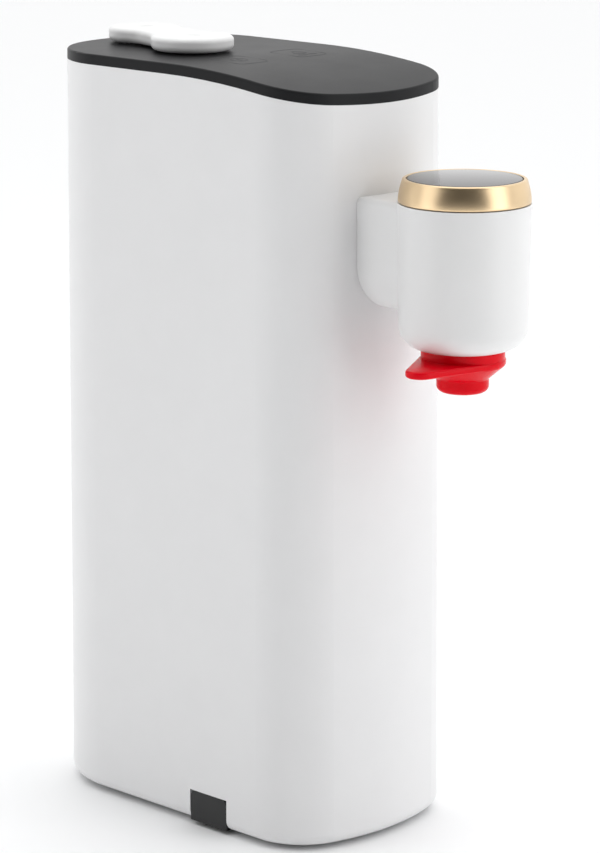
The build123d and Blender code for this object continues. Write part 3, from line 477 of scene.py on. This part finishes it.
@dataclass(frozen=True)
class Silicone:
    """Milky silicone tube with a soft sheen and a fine grain."""

    name: str
    colour: Colour = (0.74, 0.76, 0.76)
    cloud_size: float = 6 * MM
    shades: tuple[float, float] = (0.93, 1.05)
    grain: float = 0.3 * MM
    grain_depth: float = 0.006 * MM
    roughness: float = 0.38
    grain_gloss: float = 0.12
    milk: float = 0.25
    milk_depth: float = 2 * MM

    def make(self) -> bpy.types.Material:
        """Makes the material: clouds in the milkiness and a fine grain that holds dust.

        Returns:
            The material.
        """
        g = Graph(self.name)
        here = g.place()
        clouds = g.noise(here, self.cloud_size, 3.0, 0.6)
        grain = g.noise(here, self.grain, 2.0)
        colour = g.mix(clouds, *(tinted(self.colour, shade) for shade in self.shades))
        return g.surface(Base_Color=colour, Roughness=self.roughness + (grain - 0.5) * self.grain_gloss,
                         Subsurface_Weight=self.milk, Subsurface_Scale=self.milk_depth,
                         Normal=g.bump(grain, self.grain_depth))


Finish = MouldedPlastic | SatinMetal | PrintedGlass | Rubber | DrawnSteel | CircuitBoard | Silicone


# ---------------------------------------------------------------- meshes
def mesh_object(name: str, points: Array, faces: list[Array]) -> bpy.types.Object:
    """Makes an object from whole arrays.

    Args:
        name: the piece's name.
        points: its vertices, n by 3, in metres.
        faces: arrays of vertex numbers, each m by 3 or m by 4.
    Returns:
        The linked object, shaded smooth.
    """
    lengths = np.concatenate([np.full(len(block), block.shape[1]) for block in faces])
    corners = np.concatenate([block.ravel() for block in faces])
    starts = np.concatenate([[0], np.cumsum(lengths)[:-1]])
    mesh = bpy.data.meshes.new(name)
    mesh.vertices.add(len(points))
    mesh.loops.add(len(corners))
    mesh.polygons.add(len(lengths))
    mesh.vertices.foreach_set("co", np.ascontiguousarray(points, dtype=np.float32).ravel())
    mesh.loops.foreach_set("vertex_index", corners.astype(np.int32))
    mesh.polygons.foreach_set("loop_start", starts.astype(np.int32))
    mesh.polygons.foreach_set("loop_total", lengths.astype(np.int32))
    mesh.polygons.foreach_set("use_smooth", np.full(len(lengths), True))
    mesh.update(calc_edges=True)
    mesh.validate()
    made = bpy.data.objects.new(name, mesh)
    bpy.context.scene.collection.objects.link(made)
    return made


def grid_faces(rows: int, columns: int, wrap_rows: bool, wrap_columns: bool) -> Array:
    """Quads of a grid of points numbered row by row.

    Args:
        rows: number of rows.
        columns: number of columns.
        wrap_rows: whether the last row joins the first.
        wrap_columns: whether the last column joins the first.
    Returns:
        The quads, m by 4, anticlockwise when columns run to the left of rows.
    """
    i, j = np.meshgrid(np.arange(rows if wrap_rows else rows - 1),
                       np.arange(columns if wrap_columns else columns - 1), indexing="ij")
    i, j = i.ravel(), j.ravel()
    i_next, j_next = (i + 1) % rows, (j + 1) % columns
    here, there = i * columns, i_next * columns
    return np.stack([here + j, there + j, there + j_next, here + j_next], 1)


def turned_piece(name: str, profile: Array, axis: tuple[float, float], steps: int) -> bpy.types.Object:
    """A closed section turned about an upright axis.

    Each point (r, z) of the profile goes to (x + r cos t, y + r sin t, z) for t round the circle.

    Args:
        name: the piece's name.
        profile: the closed section as rows of (r, z), anticlockwise with r to the right.
        axis: x and y of the axis.
        steps: points round the circle.
    Returns:
        The object.
    """
    turn = np.linspace(0, 2 * math.pi, steps, endpoint=False)[:, None]
    r, z = profile[None, :, 0], profile[None, :, 1]
    points = np.stack([axis[0] + r * np.cos(turn), axis[1] + r * np.sin(turn), z + 0 * turn], -1)
    return mesh_object(name, points.reshape(-1, 3), [grid_faces(steps, len(profile), True, True)[:, ::-1]])


def lathed_solid(name: str, profile: Array, axis: tuple[float, float], steps: int) -> bpy.types.Object:
    """A solid turned from an open profile whose two ends lie on the axis.

    The points between the ends are carried round the circle, and each end is one pole point.

    Args:
        name: the piece's name.
        profile: rows of (r, z) from the lower pole to the upper pole; the first and last have r = 0.
        axis: x and y of the axis.
        steps: points round the circle.
    Returns:
        The object.
    """
    turn = np.linspace(0, 2 * math.pi, steps, endpoint=False)[None, :]
    r, z = profile[1:-1, 0:1], profile[1:-1, 1:2]
    body = np.stack([axis[0] + r * np.cos(turn), axis[1] + r * np.sin(turn), z + 0 * turn], -1).reshape(-1, 3)
    poles = np.array([[axis[0], axis[1], profile[0, 1]], [axis[0], axis[1], profile[-1, 1]]])
    rows = len(profile) - 2
    around = np.arange(steps)
    after = (around + 1) % steps
    low = np.stack([np.full(steps, len(body)), after, around], 1)
    top = (rows - 1) * steps
    high = np.stack([np.full(steps, len(body) + 1), top + around, top + after], 1)
    quads = grid_faces(rows, steps, False, True)[:, ::-1]
    return mesh_object(name, np.concatenate([body, poles]), [quads, low, high])


def rounded(corners: list[tuple[float, float, float]], steps: int = 6, closed: bool = True) -> Array:
    """A flat outline with its corners rounded.

    Each corner is cut back along both its sides by radius / tan(half its angle), and an arc joins the cuts.

    Args:
        corners: (x, y, radius) in order.
        steps: segments of each arc.
        closed: whether the last corner joins the first; else the first and last stay as they are.
    Returns:
        The outline's points, n by 2.
    """
    given = np.array(corners, float)
    count = len(given)
    rows = []
    for k in range(count):
        here, radius = given[k, :2], given[k, 2]
        if radius <= 0 or (not closed and k in (0, count - 1)):
            rows.append(here[None])
            continue
        back = given[k - 1, :2] - here
        ahead = given[(k + 1) % count, :2] - here
        back, ahead = back / np.linalg.norm(back), ahead / np.linalg.norm(ahead)
        half = math.acos(float(np.clip(back @ ahead, -1, 1))) / 2
        middle = back + ahead
        centre = here + middle / np.linalg.norm(middle) * radius / math.sin(half)
        start = here + back * radius / math.tan(half) - centre
        stop = here + ahead * radius / math.tan(half) - centre
        t = np.linspace(0, 1, steps + 1)[:, None]
        angle = math.pi - 2 * half
        arc = (np.sin((1 - t) * angle) * start + np.sin(t * angle) * stop) / math.sin(angle)
        rows.append(centre + arc)
    return np.concatenate(rows)


def laid_line(name: str, path: Array, width: float, height: float, sink: float,
              level: Callable[[Array, Array], Array], closed: bool, lanes: int = 9) -> bpy.types.Object:
    """A slim line laid on a surface: a low arched section carried along a path.

    Across the path the section rises as height * sqrt(1 - s^2) for s from -1 to 1, and its underside lies
    sink below the surface. The surface's height is a function of the place.

    Args:
        name: the piece's name.
        path: points in plan, n by 2.
        width: width of the line.
        height: rise of its middle above the surface.
        sink: depth of its underside below the surface.
        level: function of arrays x and y that gives the surface's height.
        closed: whether the path joins its own start.
        lanes: points across its top.
    Returns:
        The object.
    """
    if closed:
        ahead = np.roll(path, -1, 0) - np.roll(path, 1, 0)
    else:
        ahead = np.gradient(path, axis=0)
    ahead /= np.linalg.norm(ahead, axis=1)[:, None]
    side = np.stack([-ahead[:, 1], ahead[:, 0]], 1)
    s = np.linspace(-1, 1, lanes)
    plan_top = path[:, None] + side[:, None] * (s * width / 2)[None, :, None]
    plan_low = plan_top[:, ::-1]
    top = level(plan_top[..., 0], plan_top[..., 1]) + height * np.sqrt(1 - s**2)
    low = level(plan_low[..., 0], plan_low[..., 1]) - sink
    points = np.concatenate([np.dstack([plan_top, top]), np.dstack([plan_low, low])], 1)
    n, m = points.shape[:2]
    faces = [grid_faces(n, m, closed, True)]
    flat = points.reshape(-1, 3)
    if not closed:
        ends = np.stack([flat[:m].mean(0), flat[-m:].mean(0)])
        ring = np.arange(m)
        after = (ring + 1) % m
        first = np.stack([np.full(m, len(flat)), ring, after], 1)
        last = np.stack([np.full(m, len(flat) + 1), (n - 1) * m + after, (n - 1) * m + ring], 1)
        faces += [first, last]
        flat = np.concatenate([flat, ends])
    return mesh_object(name, flat, faces)


# ---------------------------------------------------------------- sub-assemblies
class SubAssembly:
    """What every sub-assembly shares: putting finishes on frame nodes and adding new pieces."""

    def dress(self, finish: Finish, *nodes: str) -> None:
        """Gives frame nodes a finish.

        Args:
            finish: the finish.
            nodes: the frame nodes that get it.
        """
        material = finish.make()
        for name in nodes:
            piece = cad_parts[name]
            piece.data.materials.clear()
            piece.data.materials.append(material)
            log.info("dressed %s in %s", name, finish.name)

    def add(self, piece: bpy.types.Object, body: Body, slot: Slot, material: bpy.types.Material,
            *stands_for: str) -> bpy.types.Object:
        """Puts a finished piece on its body.

        Args:
            piece: the new piece, in place.
            body: the body that it moves with.
            slot: the record's slot meant for it; not used.
            material: its finish.
            stands_for: frame nodes that it replaces.
        Returns:
            The piece.
        """
        piece.data.materials.clear()
        piece.data.materials.append(material)
        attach(piece, body.value)
        if stands_for:
            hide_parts(*stands_for)
        log.info("added %s on %s", piece.name, body.value)
        return piece


@dataclass
class Casing(SubAssembly):
    """The column: shell, base, feet, screws, and the gland at the back."""

    white: MouldedPlastic = MouldedPlastic("casing_white", (0.80, 0.80, 0.805), 0.40)
    underside: MouldedPlastic = MouldedPlastic("base_grey", (0.045, 0.046, 0.050), 0.55)
    feet: Rubber = Rubber("foot_rubber", (0.02, 0.02, 0.021))
    screws: DrawnSteel = DrawnSteel("screw_steel", (0.62, 0.62, 0.63), 0.3)
    gland: MouldedPlastic = MouldedPlastic("gland_white", (0.72, 0.72, 0.72), 0.45)

    def build(self) -> None:
        """Dresses the casing's nodes."""
        self.dress(self.white, "body_shell")
        self.dress(self.underside, "base_plate")
        self.dress(self.feet, "rubber_feet")
        self.dress(self.screws, "base_screws")
        self.dress(self.gland, "cord_gland")


@dataclass
class Lid(SubAssembly):
    """The matt black lid, with two touch keys outlined on it and a plain sign in each."""

    black: MouldedPlastic = MouldedPlastic("lid_black", (0.0135, 0.0138, 0.0148), 0.40, grain=0.35 * MM,
                                           depth=0.012 * MM, cloud=0.05, specular=0.12)
    ink: MouldedPlastic = MouldedPlastic("key_ink", (0.006, 0.006, 0.007), 0.55)
    bush: MouldedPlastic = MouldedPlastic("bush_plastic", (0.30, 0.30, 0.31), 0.4)
    key_x: float = 14.3 * MM
    key_y: float = 13.5 * MM
    key_width: float = 14.0 * MM
    key_length: float = 16.0 * MM
    key_corner: float = 2.6 * MM
    line_width: float = 0.42 * MM
    line_height: float = 0.05 * MM
    line_sink: float = 0.10 * MM
    sign_line: float = 0.8
    ring_share: float = 0.21
    drop_share: float = 0.19
    nose: float = 67.0 * MM
    drop: float = 6.9 * MM
    top: float = field(init=False)
    level_from: float = field(init=False)

    def __post_init__(self) -> None:
        """Reads the lid's height and where it starts to fall from the frame."""
        low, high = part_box("top_lid")
        self.top = high.z
        self.level_from = low.y + self.nose

    def level(self, x: Array, y: Array) -> Array:
        """Height of the lid: flat at the rear, then an arc that has fallen by the drop at the front.

        Args:
            x: places across.
            y: places along.
        Returns:
            The heights.
        """
        bend = (self.nose**2 + self.drop**2) / (2 * self.drop)
        fall = np.clip(self.level_from - y, 0, None)
        return self.top - (bend - np.sqrt(bend**2 - fall**2)) + 0 * x

    def build(self) -> None:
        """Dresses the lid and draws its two keys."""
        self.dress(self.black, "top_lid")
        self.dress(self.bush, "pivot_bush")
        ink = self.ink.make()
        for number, side in enumerate((-1, 1), 1):
            self.key(number, side * self.key_x, ink)
        self.warm_sign(-self.key_x, ink)
        self.drop_sign(self.key_x, ink)

    def draw(self, name: str, path: Array, ink: bpy.types.Material, closed: bool = True,
             share: float = 1.0) -> None:
        """Lays one inked line on the lid.

        Args:
            name: the piece's name.
            path: its points in plan.
            ink: its finish.
            closed: whether it joins its start.
            share: its width beside the outline's.
        """
        line = laid_line(name, path, self.line_width * share, self.line_height, self.line_sink, self.level,
                         closed)
        self.add(line, Body.ROOT, Slot.DARK, ink)

    def key(self, number: int, x: float, ink: bpy.types.Material) -> None:
        """Outline of one key, a rectangle with rounded corners.

        Args:
            number: the key's number.
            x: its middle across the lid.
            ink: its finish.
        """
        half_w, half_l, r = self.key_width / 2, self.key_length / 2, self.key_corner
        corners = [(x + sx * half_w, self.key_y + sy * half_l, r)
                   for sx, sy in ((1, -1), (1, 1), (-1, 1), (-1, -1))]
        self.draw(f"key_outline_{number}", rounded(corners, 8), ink)

    def warm_sign(self, x: float, ink: bpy.types.Material) -> None:
        """A ring with a short bar in it, for the water's warmth.

        Args:
            x: the sign's middle across the lid.
            ink: its finish.
        """
        turn = np.linspace(0, 2 * math.pi, 48, endpoint=False)
        radius = self.key_width * self.ring_share
        ring = np.stack([x + radius * np.cos(turn), self.key_y + radius * np.sin(turn)], 1)
        self.draw("key_sign_ring", ring, ink, share=self.sign_line)
        run = np.linspace(-0.5, 0.5, 9)
        bar = np.stack([x + 0 * run, self.key_y + run * radius], 1)
        self.draw("key_sign_bar", bar, ink, False, self.sign_line)

    def drop_sign(self, x: float, ink: bpy.types.Material) -> None:
        """A drop over a shallow wave.

        Round the drop, for t from 0 to 2 pi, the place across is size cos t (1 - sin t) / 1.3 and the place
        along is size (1.1 sin t + 0.2). The wave has one and a half half-turns of a sine.

        Args:
            x: the sign's middle across the lid.
            ink: its finish.
        """
        turn = np.linspace(0, 2 * math.pi, 60, endpoint=False)
        size = self.key_width * self.drop_share
        across = size * np.cos(turn) * (1 - np.sin(turn)) / 1.3
        along = size * (np.sin(turn) * 1.1 + 0.2)
        drop = np.stack([x + across, self.key_y + along], 1)
        self.draw("key_sign_drop", drop, ink, share=self.sign_line)
        run = np.linspace(-1, 1, 25)
        wave_y = self.key_y - size * 1.7 + size * 0.18 * np.sin(run * math.pi * 1.5)
        self.draw("key_sign_wave", np.stack([x + run * size * 1.5, wave_y], 1), ink, False, self.sign_line)


@dataclass
class SuctionArm(SubAssembly):
    """The white two-lobed arm on the lid and what it turns in."""

    white: MouldedPlastic = MouldedPlastic("suction_white", (0.83, 0.83, 0.83), 0.34, depth=0.006 * MM)
    post: DrawnSteel = DrawnSteel("post_steel", (0.60, 0.60, 0.61), 0.28)
    inner: MouldedPlastic = MouldedPlastic("union_plastic", (0.42, 0.42, 0.44), 0.42)
    seal: Rubber = Rubber("seal_rubber", (0.018, 0.018, 0.02))

    def build(self) -> None:
        """Dresses the arm's nodes."""
        self.dress(self.white, "suction_arm")
        self.dress(self.post, "pivot_post", "pivot_clip")
        self.dress(self.inner, "inlet_union")
        self.dress(self.seal, "pivot_seal", "nozzle_seal")


@dataclass
class TapHead(SubAssembly):
    """The arm out of the column, the round head, its gold ring and its display glass."""

    white: MouldedPlastic = MouldedPlastic("head_white", (0.79, 0.79, 0.79), 0.32, depth=0.006 * MM)
    bearing: MouldedPlastic = MouldedPlastic("bearing_plastic", (0.75, 0.74, 0.70), 0.35)
    dark: MouldedPlastic = MouldedPlastic("plunger_dark", (0.03, 0.03, 0.032), 0.4)
    board: CircuitBoard = CircuitBoard("head_board")
    spring: DrawnSteel = DrawnSteel("spring_steel", (0.55, 0.55, 0.56), 0.25)
    gold: Colour = (0.80, 0.61, 0.38)
    gold_roughness: float = 0.33
    display: Colour = (0.030, 0.026, 0.028)
    border: float = 0.9 * MM
    edge: float = 0.35 * MM
    top_edge: float = 0.84 * MM
    glass_corner: float = 0.15 * MM
    lean: float = 1.4 * MM
    lean_power: float = 1.6
    roll: float = 0.168 * MM
    gap: float = 0.3 * MM
    ring_lift: float = 0.05 * MM
    steps: int = 240

    def build(self) -> None:
        """Dresses the head and makes its ring and glass."""
        low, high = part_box("dial_ring")
        axis = ((low.x + high.x) / 2, (low.y + high.y) / 2)
        self.dress(self.white, "head_shell", "spout_arm")
        self.dress(self.bearing, "dial_bearing", "dial_clip", "arm_nut", "outlet_pipe")
        self.dress(self.dark, "button_plunger", "button_switch")
        self.dress(self.board, "display_board")
        self.dress(self.spring, "button_spring")
        self.ring(axis)
        self.glass(axis)

    def ring(self, axis: tuple[float, float]) -> None:
        """The gold ring: its outer face leans in towards the top, and its top edge is rolled over.

        The face's radius is the outer radius less lean * t^1.6, less roll * (1 - sin(pi t / 2)), for t from
        0 at the lower edge to 1 at the upper.

        Args:
            axis: x and y of its axis.
        """
        low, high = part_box("dial_ring")
        outer = (high.x - low.x) / 2
        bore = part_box("display_glass")[1].x - axis[0] + self.gap
        t = np.linspace(0, 1, 25)[:, None]
        radius = outer - self.lean * t**self.lean_power - self.roll * (1 - np.sin(math.pi * t / 2))
        height = low.z + self.edge + t * (high.z - low.z - self.edge - self.top_edge)
        face = np.concatenate([radius, height], 1)
        foot, brow = (tuple(map(float, face[k])) for k in (0, -1))
        corners = rounded([
            (*brow, 0.0), (brow[0] - 0.4 * self.edge, high.z, 2.0 * self.edge),
            (bore, high.z, 0.6 * self.edge), (bore, low.z + self.ring_lift, 2 * self.ring_lift),
            (foot[0] - 0.2 * self.edge, low.z, 0.6 * self.edge), (*foot, 0.0)], 8, False)
        section = np.concatenate([face, corners[1:-1]])
        piece = turned_piece("gold_ring", section, axis, self.steps)
        gold = SatinMetal("ring_gold", self.gold, self.gold_roughness, axis)
        self.add(piece, Body.DIAL, Slot.GOLD, gold.make(), "dial_ring")

    def glass(self, axis: tuple[float, float]) -> None:
        """The display glass, a disc turned from a section with a ground edge.

        Args:
            axis: x and y of its axis.
        """
        low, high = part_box("display_glass")
        radius = (high.x - low.x) / 2
        section = rounded([
            (0.0, low.z, 0.0), (radius, low.z, self.glass_corner), (radius, high.z, self.edge),
            (0.0, high.z, 0.0)], 6, False)
        dark = PrintedGlass("display_dark", self.display, axis, radius - self.border)
        piece = lathed_solid("display_disc", section, axis, self.steps)
        self.add(piece, Body.BUTTON, Slot.GLASS, dark.make(), "display_glass")


@dataclass
class Nozzle(SubAssembly):
    """The red turning nozzle with its finger plate."""

    red: MouldedPlastic = MouldedPlastic("nozzle_red", (0.72, 0.0008, 0.009), 0.17, grain=0.6 * MM,
                                         depth=0.003 * MM, cloud=0.03, specular=0.10)
    clip: MouldedPlastic = MouldedPlastic("clip_plastic", (0.7, 0.7, 0.68), 0.4)
    bore: float = 4.05 * MM
    plug: float = 8.7 * MM
    plug_height: float = 4.6 * MM
    collar: float = 14.2 * MM
    cone_height: float = 4.5 * MM
    plate: float = 2.5 * MM
    collar_height: float = 17.15 * MM
    neck: float = 12.7 * MM
    neck_height: float = 20.0 * MM
    seal_room: float = 6.2 * MM
    tip_reach: tuple[float, float] = (-25.0 * MM, -4.0 * MM)
    tip: float = 5.0 * MM
    edge: float = 0.8 * MM
    sharp: float = 0.1 * MM
    soft: float = 0.3 * MM
    lip: float = 0.5 * MM
    plug_round: float = 2.2 * MM
    plug_steps: int = 200
    plate_steps: int = 360
    fan_share: float = 0.3
    axis: tuple[float, float] = field(init=False)
    low: float = field(init=False)

    def __post_init__(self) -> None:
        """Reads the nozzle's axis and lower end from the frame."""
        low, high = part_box("dial_ring")
        self.axis = ((low.x + high.x) / 2, (low.y + high.y) / 2)
        self.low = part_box("nozzle_lever")[0].z

    def build(self) -> None:
        """Makes the turned nozzle and its finger plate, and dresses the clip."""
        red = self.red.make()
        self.add(self.barrel(), Body.NOZZLE, Slot.RED, red, "nozzle_lever")
        self.add(self.finger_plate(), Body.NOZZLE, Slot.RED, red)
        self.dress(self.clip, "nozzle_clip")

    def barrel(self) -> bpy.types.Object:
        """Plug, cone, collar and neck turned from one section, with the bore and the seal's room.

        Returns:
            The barrel.
        """
        low, cone = self.low, self.low + self.plug_height
        shoulder, neck_top = self.low + self.collar_height, self.low + self.neck_height
        collar, room_floor = self.collar - self.soft, shoulder - self.soft / 2
        section = rounded([
            (self.bore, low, self.lip), (self.plug, low, self.plug_round), (self.plug, cone, self.edge),
            (collar, cone + self.cone_height, self.soft), (collar, shoulder, self.soft),
            (self.neck, shoulder, 2 * self.sharp), (self.neck, neck_top, self.soft),
            (self.seal_room, neck_top, self.sharp), (self.seal_room, room_floor, self.sharp),
            (self.bore, room_floor, self.sharp)], 8)
        return turned_piece("nozzle_barrel", section, self.axis, self.plug_steps)

    def outline(self, inset: Array, steps: int) -> Array:
        """Outline of the plate, a collar circle and a tip circle wrapped by two straight sides.

        For each direction u the outline point is the one that lies furthest along u on the two circles, both
        drawn smaller by the inset.

        Args:
            inset: insets, one for each row wanted.
            steps: points round the outline.
        Returns:
            Points, rows by steps by 2, counted from the axis.
        """
        angle = np.linspace(0, 2 * math.pi, steps, endpoint=False)
        u = np.stack([np.cos(angle), np.sin(angle)], -1)
        reach = u @ np.array(self.tip_reach) + self.tip
        on_tip = (reach > self.collar)[:, None]
        middle = np.where(on_tip, np.array(self.tip_reach), 0.0)
        radius = np.where(on_tip[:, 0], self.tip, self.collar)
        return middle[None] + u[None] * (radius[None] - inset[:, None])[..., None]

    def finger_plate(self) -> bpy.types.Object:
        """The finger plate: its outline carried round a section with quarter-round edges, closed by fans.

        Returns:
            The plate.
        """
        steps, arc = self.plate_steps, np.linspace(0, math.pi / 2, 7)
        inset = self.edge * np.concatenate([1 - np.sin(arc), 1 - np.cos(arc)])
        bottom = self.low + self.plug_height + self.cone_height
        rise = np.concatenate([self.edge * (1 - np.cos(arc)), self.plate - self.edge * (1 - np.sin(arc))])
        height = bottom + rise
        plan = self.outline(inset, steps) + np.array(self.axis)
        rows = np.concatenate([plan, np.broadcast_to(height[:, None, None], (*plan.shape[:2], 1))], -1)
        middle = np.array(self.axis) + np.array(self.tip_reach) * self.fan_share
        poles = np.array([[*middle, height[0]], [*middle, height[-1]]])
        count = len(height) * steps
        ring = np.arange(steps)
        after = (ring + 1) % steps
        last = count - steps
        low = np.stack([np.full(steps, count), after, ring], 1)
        high = np.stack([np.full(steps, count + 1), last + ring, last + after], 1)
        quads = grid_faces(len(height), steps, False, True)[:, ::-1]
        points = np.concatenate([rows.reshape(-1, 3), poles])
        return mesh_object("nozzle_finger_plate", points, [quads, low, high])


@dataclass
class Drain(SubAssembly):
    """The rubber cover at the foot and the spigot behind it."""

    rubber: Rubber = Rubber("drain_rubber", (0.007, 0.007, 0.0075), 0.5)
    spigot: MouldedPlastic = MouldedPlastic("spigot_plastic", (0.35, 0.35, 0.36), 0.42)

    def build(self) -> None:
        """Dresses the drain."""
        self.dress(self.rubber, "drain_cover")
        self.dress(self.spigot, "drain_spigot")


@dataclass
class Works(SubAssembly):
    """Everything inside the column."""

    chassis: MouldedPlastic = MouldedPlastic("frame_plastic", (0.40, 0.41, 0.42), 0.5)
    heater: DrawnSteel = DrawnSteel("heater_steel", (0.58, 0.57, 0.55), 0.32, stained=0.6)
    caps: MouldedPlastic = MouldedPlastic("cap_plastic", (0.10, 0.10, 0.105), 0.45)
    clamp: DrawnSteel = DrawnSteel("clamp_steel", (0.60, 0.60, 0.61), 0.35)
    motor: DrawnSteel = DrawnSteel("motor_steel", (0.50, 0.50, 0.51), 0.35)
    rubber: Rubber = Rubber("mount_rubber", (0.025, 0.025, 0.027))
    pump: MouldedPlastic = MouldedPlastic("pump_plastic", (0.05, 0.05, 0.055), 0.4)
    rotor: MouldedPlastic = MouldedPlastic("rotor_plastic", (0.72, 0.72, 0.70), 0.4)
    sensor: MouldedPlastic = MouldedPlastic("sensor_plastic", (0.04, 0.05, 0.06), 0.38)
    boards: CircuitBoard = CircuitBoard("works_board")
    tubes: Silicone = Silicone("tube_silicone")

    def build(self) -> None:
        """Dresses the works."""
        self.dress(self.chassis, "inner_frame", "sensor_bracket")
        self.dress(self.heater, "heater_barrel")
        self.dress(self.caps, "heater_lower_cap", "heater_upper_cap", "thermostat")
        self.dress(self.clamp, "heater_clamps")
        self.dress(self.motor, "pump_motor")
        self.dress(self.rubber, "motor_mount")
        self.dress(self.pump, "pump_housing")
        self.dress(self.rotor, "pump_rotor")
        self.dress(self.sensor, "flow_sensor")
        self.dress(self.boards, "power_board", "control_board", "touch_board")
        self.dress(self.tubes, "inlet_tube", "pump_tube", "heater_tube", "outlet_tube")


# ---------------------------------------------------------------- studio
@dataclass(frozen=True)
class SoftBox:
    """One soft rectangular light aimed at a point."""

    name: str
    place: tuple[float, float, float]
    aim: tuple[float, float, float]
    width: float
    height: float
    power: float

    def make(self) -> None:
        """Adds the light to the scene."""
        data = bpy.data.lights.new(self.name, "AREA")
        data.shape = "RECTANGLE"
        data.size, data.size_y = self.width, self.height
        data.energy = self.power
        lamp = bpy.data.objects.new(self.name, data)
        bpy.context.scene.collection.objects.link(lamp)
        lamp.location = self.place
        away = lamp.location - type(lamp.location)(self.aim)
        lamp.rotation_euler = away.to_track_quat("Z", "Y").to_euler()
        log.info("light %s", self.name)


@dataclass
class Studio:
    """A pale floor, soft lights and the camera."""

    floor_colour: Colour = (0.93, 0.935, 0.94)
    floor_half: float = 4.0
    floor_roughness: float = 0.6
    mottle: float = 40 * MM
    mottle_shade: float = 0.995
    mottle_gloss: float = 0.05
    sky: float = 1.12
    dark_sky: float = 0.03
    overhead_power: float = 1.25
    overhead_angle: float = 1.3
    dark_azimuth: float = -50.0
    dark_reach: tuple[float, float] = (-0.35, 0.45)
    camera_place: tuple[float, float, float] = (-0.7971, -0.7761, 0.3968)
    camera_azimuth: float = -45.81
    camera_down: float = 13.11
    lens: float = 139.3
    boxes: tuple[SoftBox, ...] = (
        SoftBox("left_box", (-1.25, 0.50, 0.70), (0.0, 0.0, 0.20), 0.80, 1.5, 5.4),
        SoftBox("right_box", (0.30, -1.35, 0.70), (0.0, 0.0, 0.20), 0.85, 1.5, 8.6),
    )

    def floor(self) -> None:
        """A wide level floor of paper with a faint mottle."""
        count = 9
        side = np.linspace(-self.floor_half, self.floor_half, count)
        x, y = np.meshgrid(side, side, indexing="ij")
        points = np.stack([x, y, 0 * x], -1).reshape(-1, 3)
        piece = mesh_object("floor", points, [grid_faces(count, count, False, False)])
        g = Graph("floor_paper")
        spots = g.noise(g.place(), self.mottle, 3.0)
        colour = g.mix(spots, tinted(self.floor_colour, self.mottle_shade), self.floor_colour)
        roughness = self.floor_roughness + spots * self.mottle_gloss
        piece.data.materials.append(g.surface(Base_Color=colour, Roughness=roughness))

    def world(self) -> None:
        """A pale sky with one darker side: its shade grows with the cosine from that side's middle."""
        world = bpy.data.worlds.new("studio_sky")
        world.use_nodes = True
        tree = world.node_tree
        back = tree.nodes["Background"]
        where = tree.nodes.new("ShaderNodeTexCoord")
        cosine = tree.nodes.new("ShaderNodeVectorMath")
        cosine.operation = "DOT_PRODUCT"
        turn = math.radians(self.dark_azimuth)
        cosine.inputs[1].default_value = (math.sin(turn), -math.cos(turn), 0.0)
        ramp = tree.nodes.new("ShaderNodeMapRange")
        ramp.interpolation_type = "SMOOTHSTEP"
        for socket, value in zip(list(ramp.inputs)[1:5], (*self.dark_reach, self.sky, self.dark_sky)):
            socket.default_value = value
        tree.links.new(where.outputs["Generated"], cosine.inputs[0])
        tree.links.new(cosine.outputs["Value"], ramp.inputs[0])
        tree.links.new(ramp.outputs[0], back.inputs["Strength"])
        back.inputs["Color"].default_value = (1.0, 1.0, 1.0, 1.0)
        bpy.context.scene.world = world

    def overhead(self) -> None:
        """A wide soft light straight from above, even over the whole floor."""
        data = bpy.data.lights.new("overhead", "SUN")
        data.energy = self.overhead_power
        data.angle = self.overhead_angle
        lamp = bpy.data.objects.new("overhead", data)
        bpy.context.scene.collection.objects.link(lamp)

    def camera(self) -> None:
        """The camera, looking down at the column from its left front."""
        data = bpy.data.cameras.new("view_camera")
        data.lens = self.lens
        viewer = bpy.data.objects.new("view_camera", data)
        bpy.context.scene.collection.objects.link(viewer)
        viewer.location = self.camera_place
        viewer.rotation_euler = (math.radians(90 - self.camera_down), 0.0, math.radians(self.camera_azimuth))
        bpy.context.scene.camera = viewer

    def build(self) -> None:
        """Sets up floor, lights, sky and camera."""
        self.floor()
        for box in self.boxes:
            box.make()
        self.overhead()
        self.world()
        self.camera()
        bpy.context.scene.view_settings.view_transform = "Standard"


def main() -> None:
    """Builds every sub-assembly and the studio."""
    logging.basicConfig(level=logging.INFO, format="%(message)s")
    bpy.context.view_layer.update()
    for assembly in (Casing(), Lid(), SuctionArm(), TapHead(), Nozzle(), Drain(), Works()):
        log.info("building %s", type(assembly).__name__)
        assembly.build()
    Studio().build()


if __name__ == "__main__":
    main()
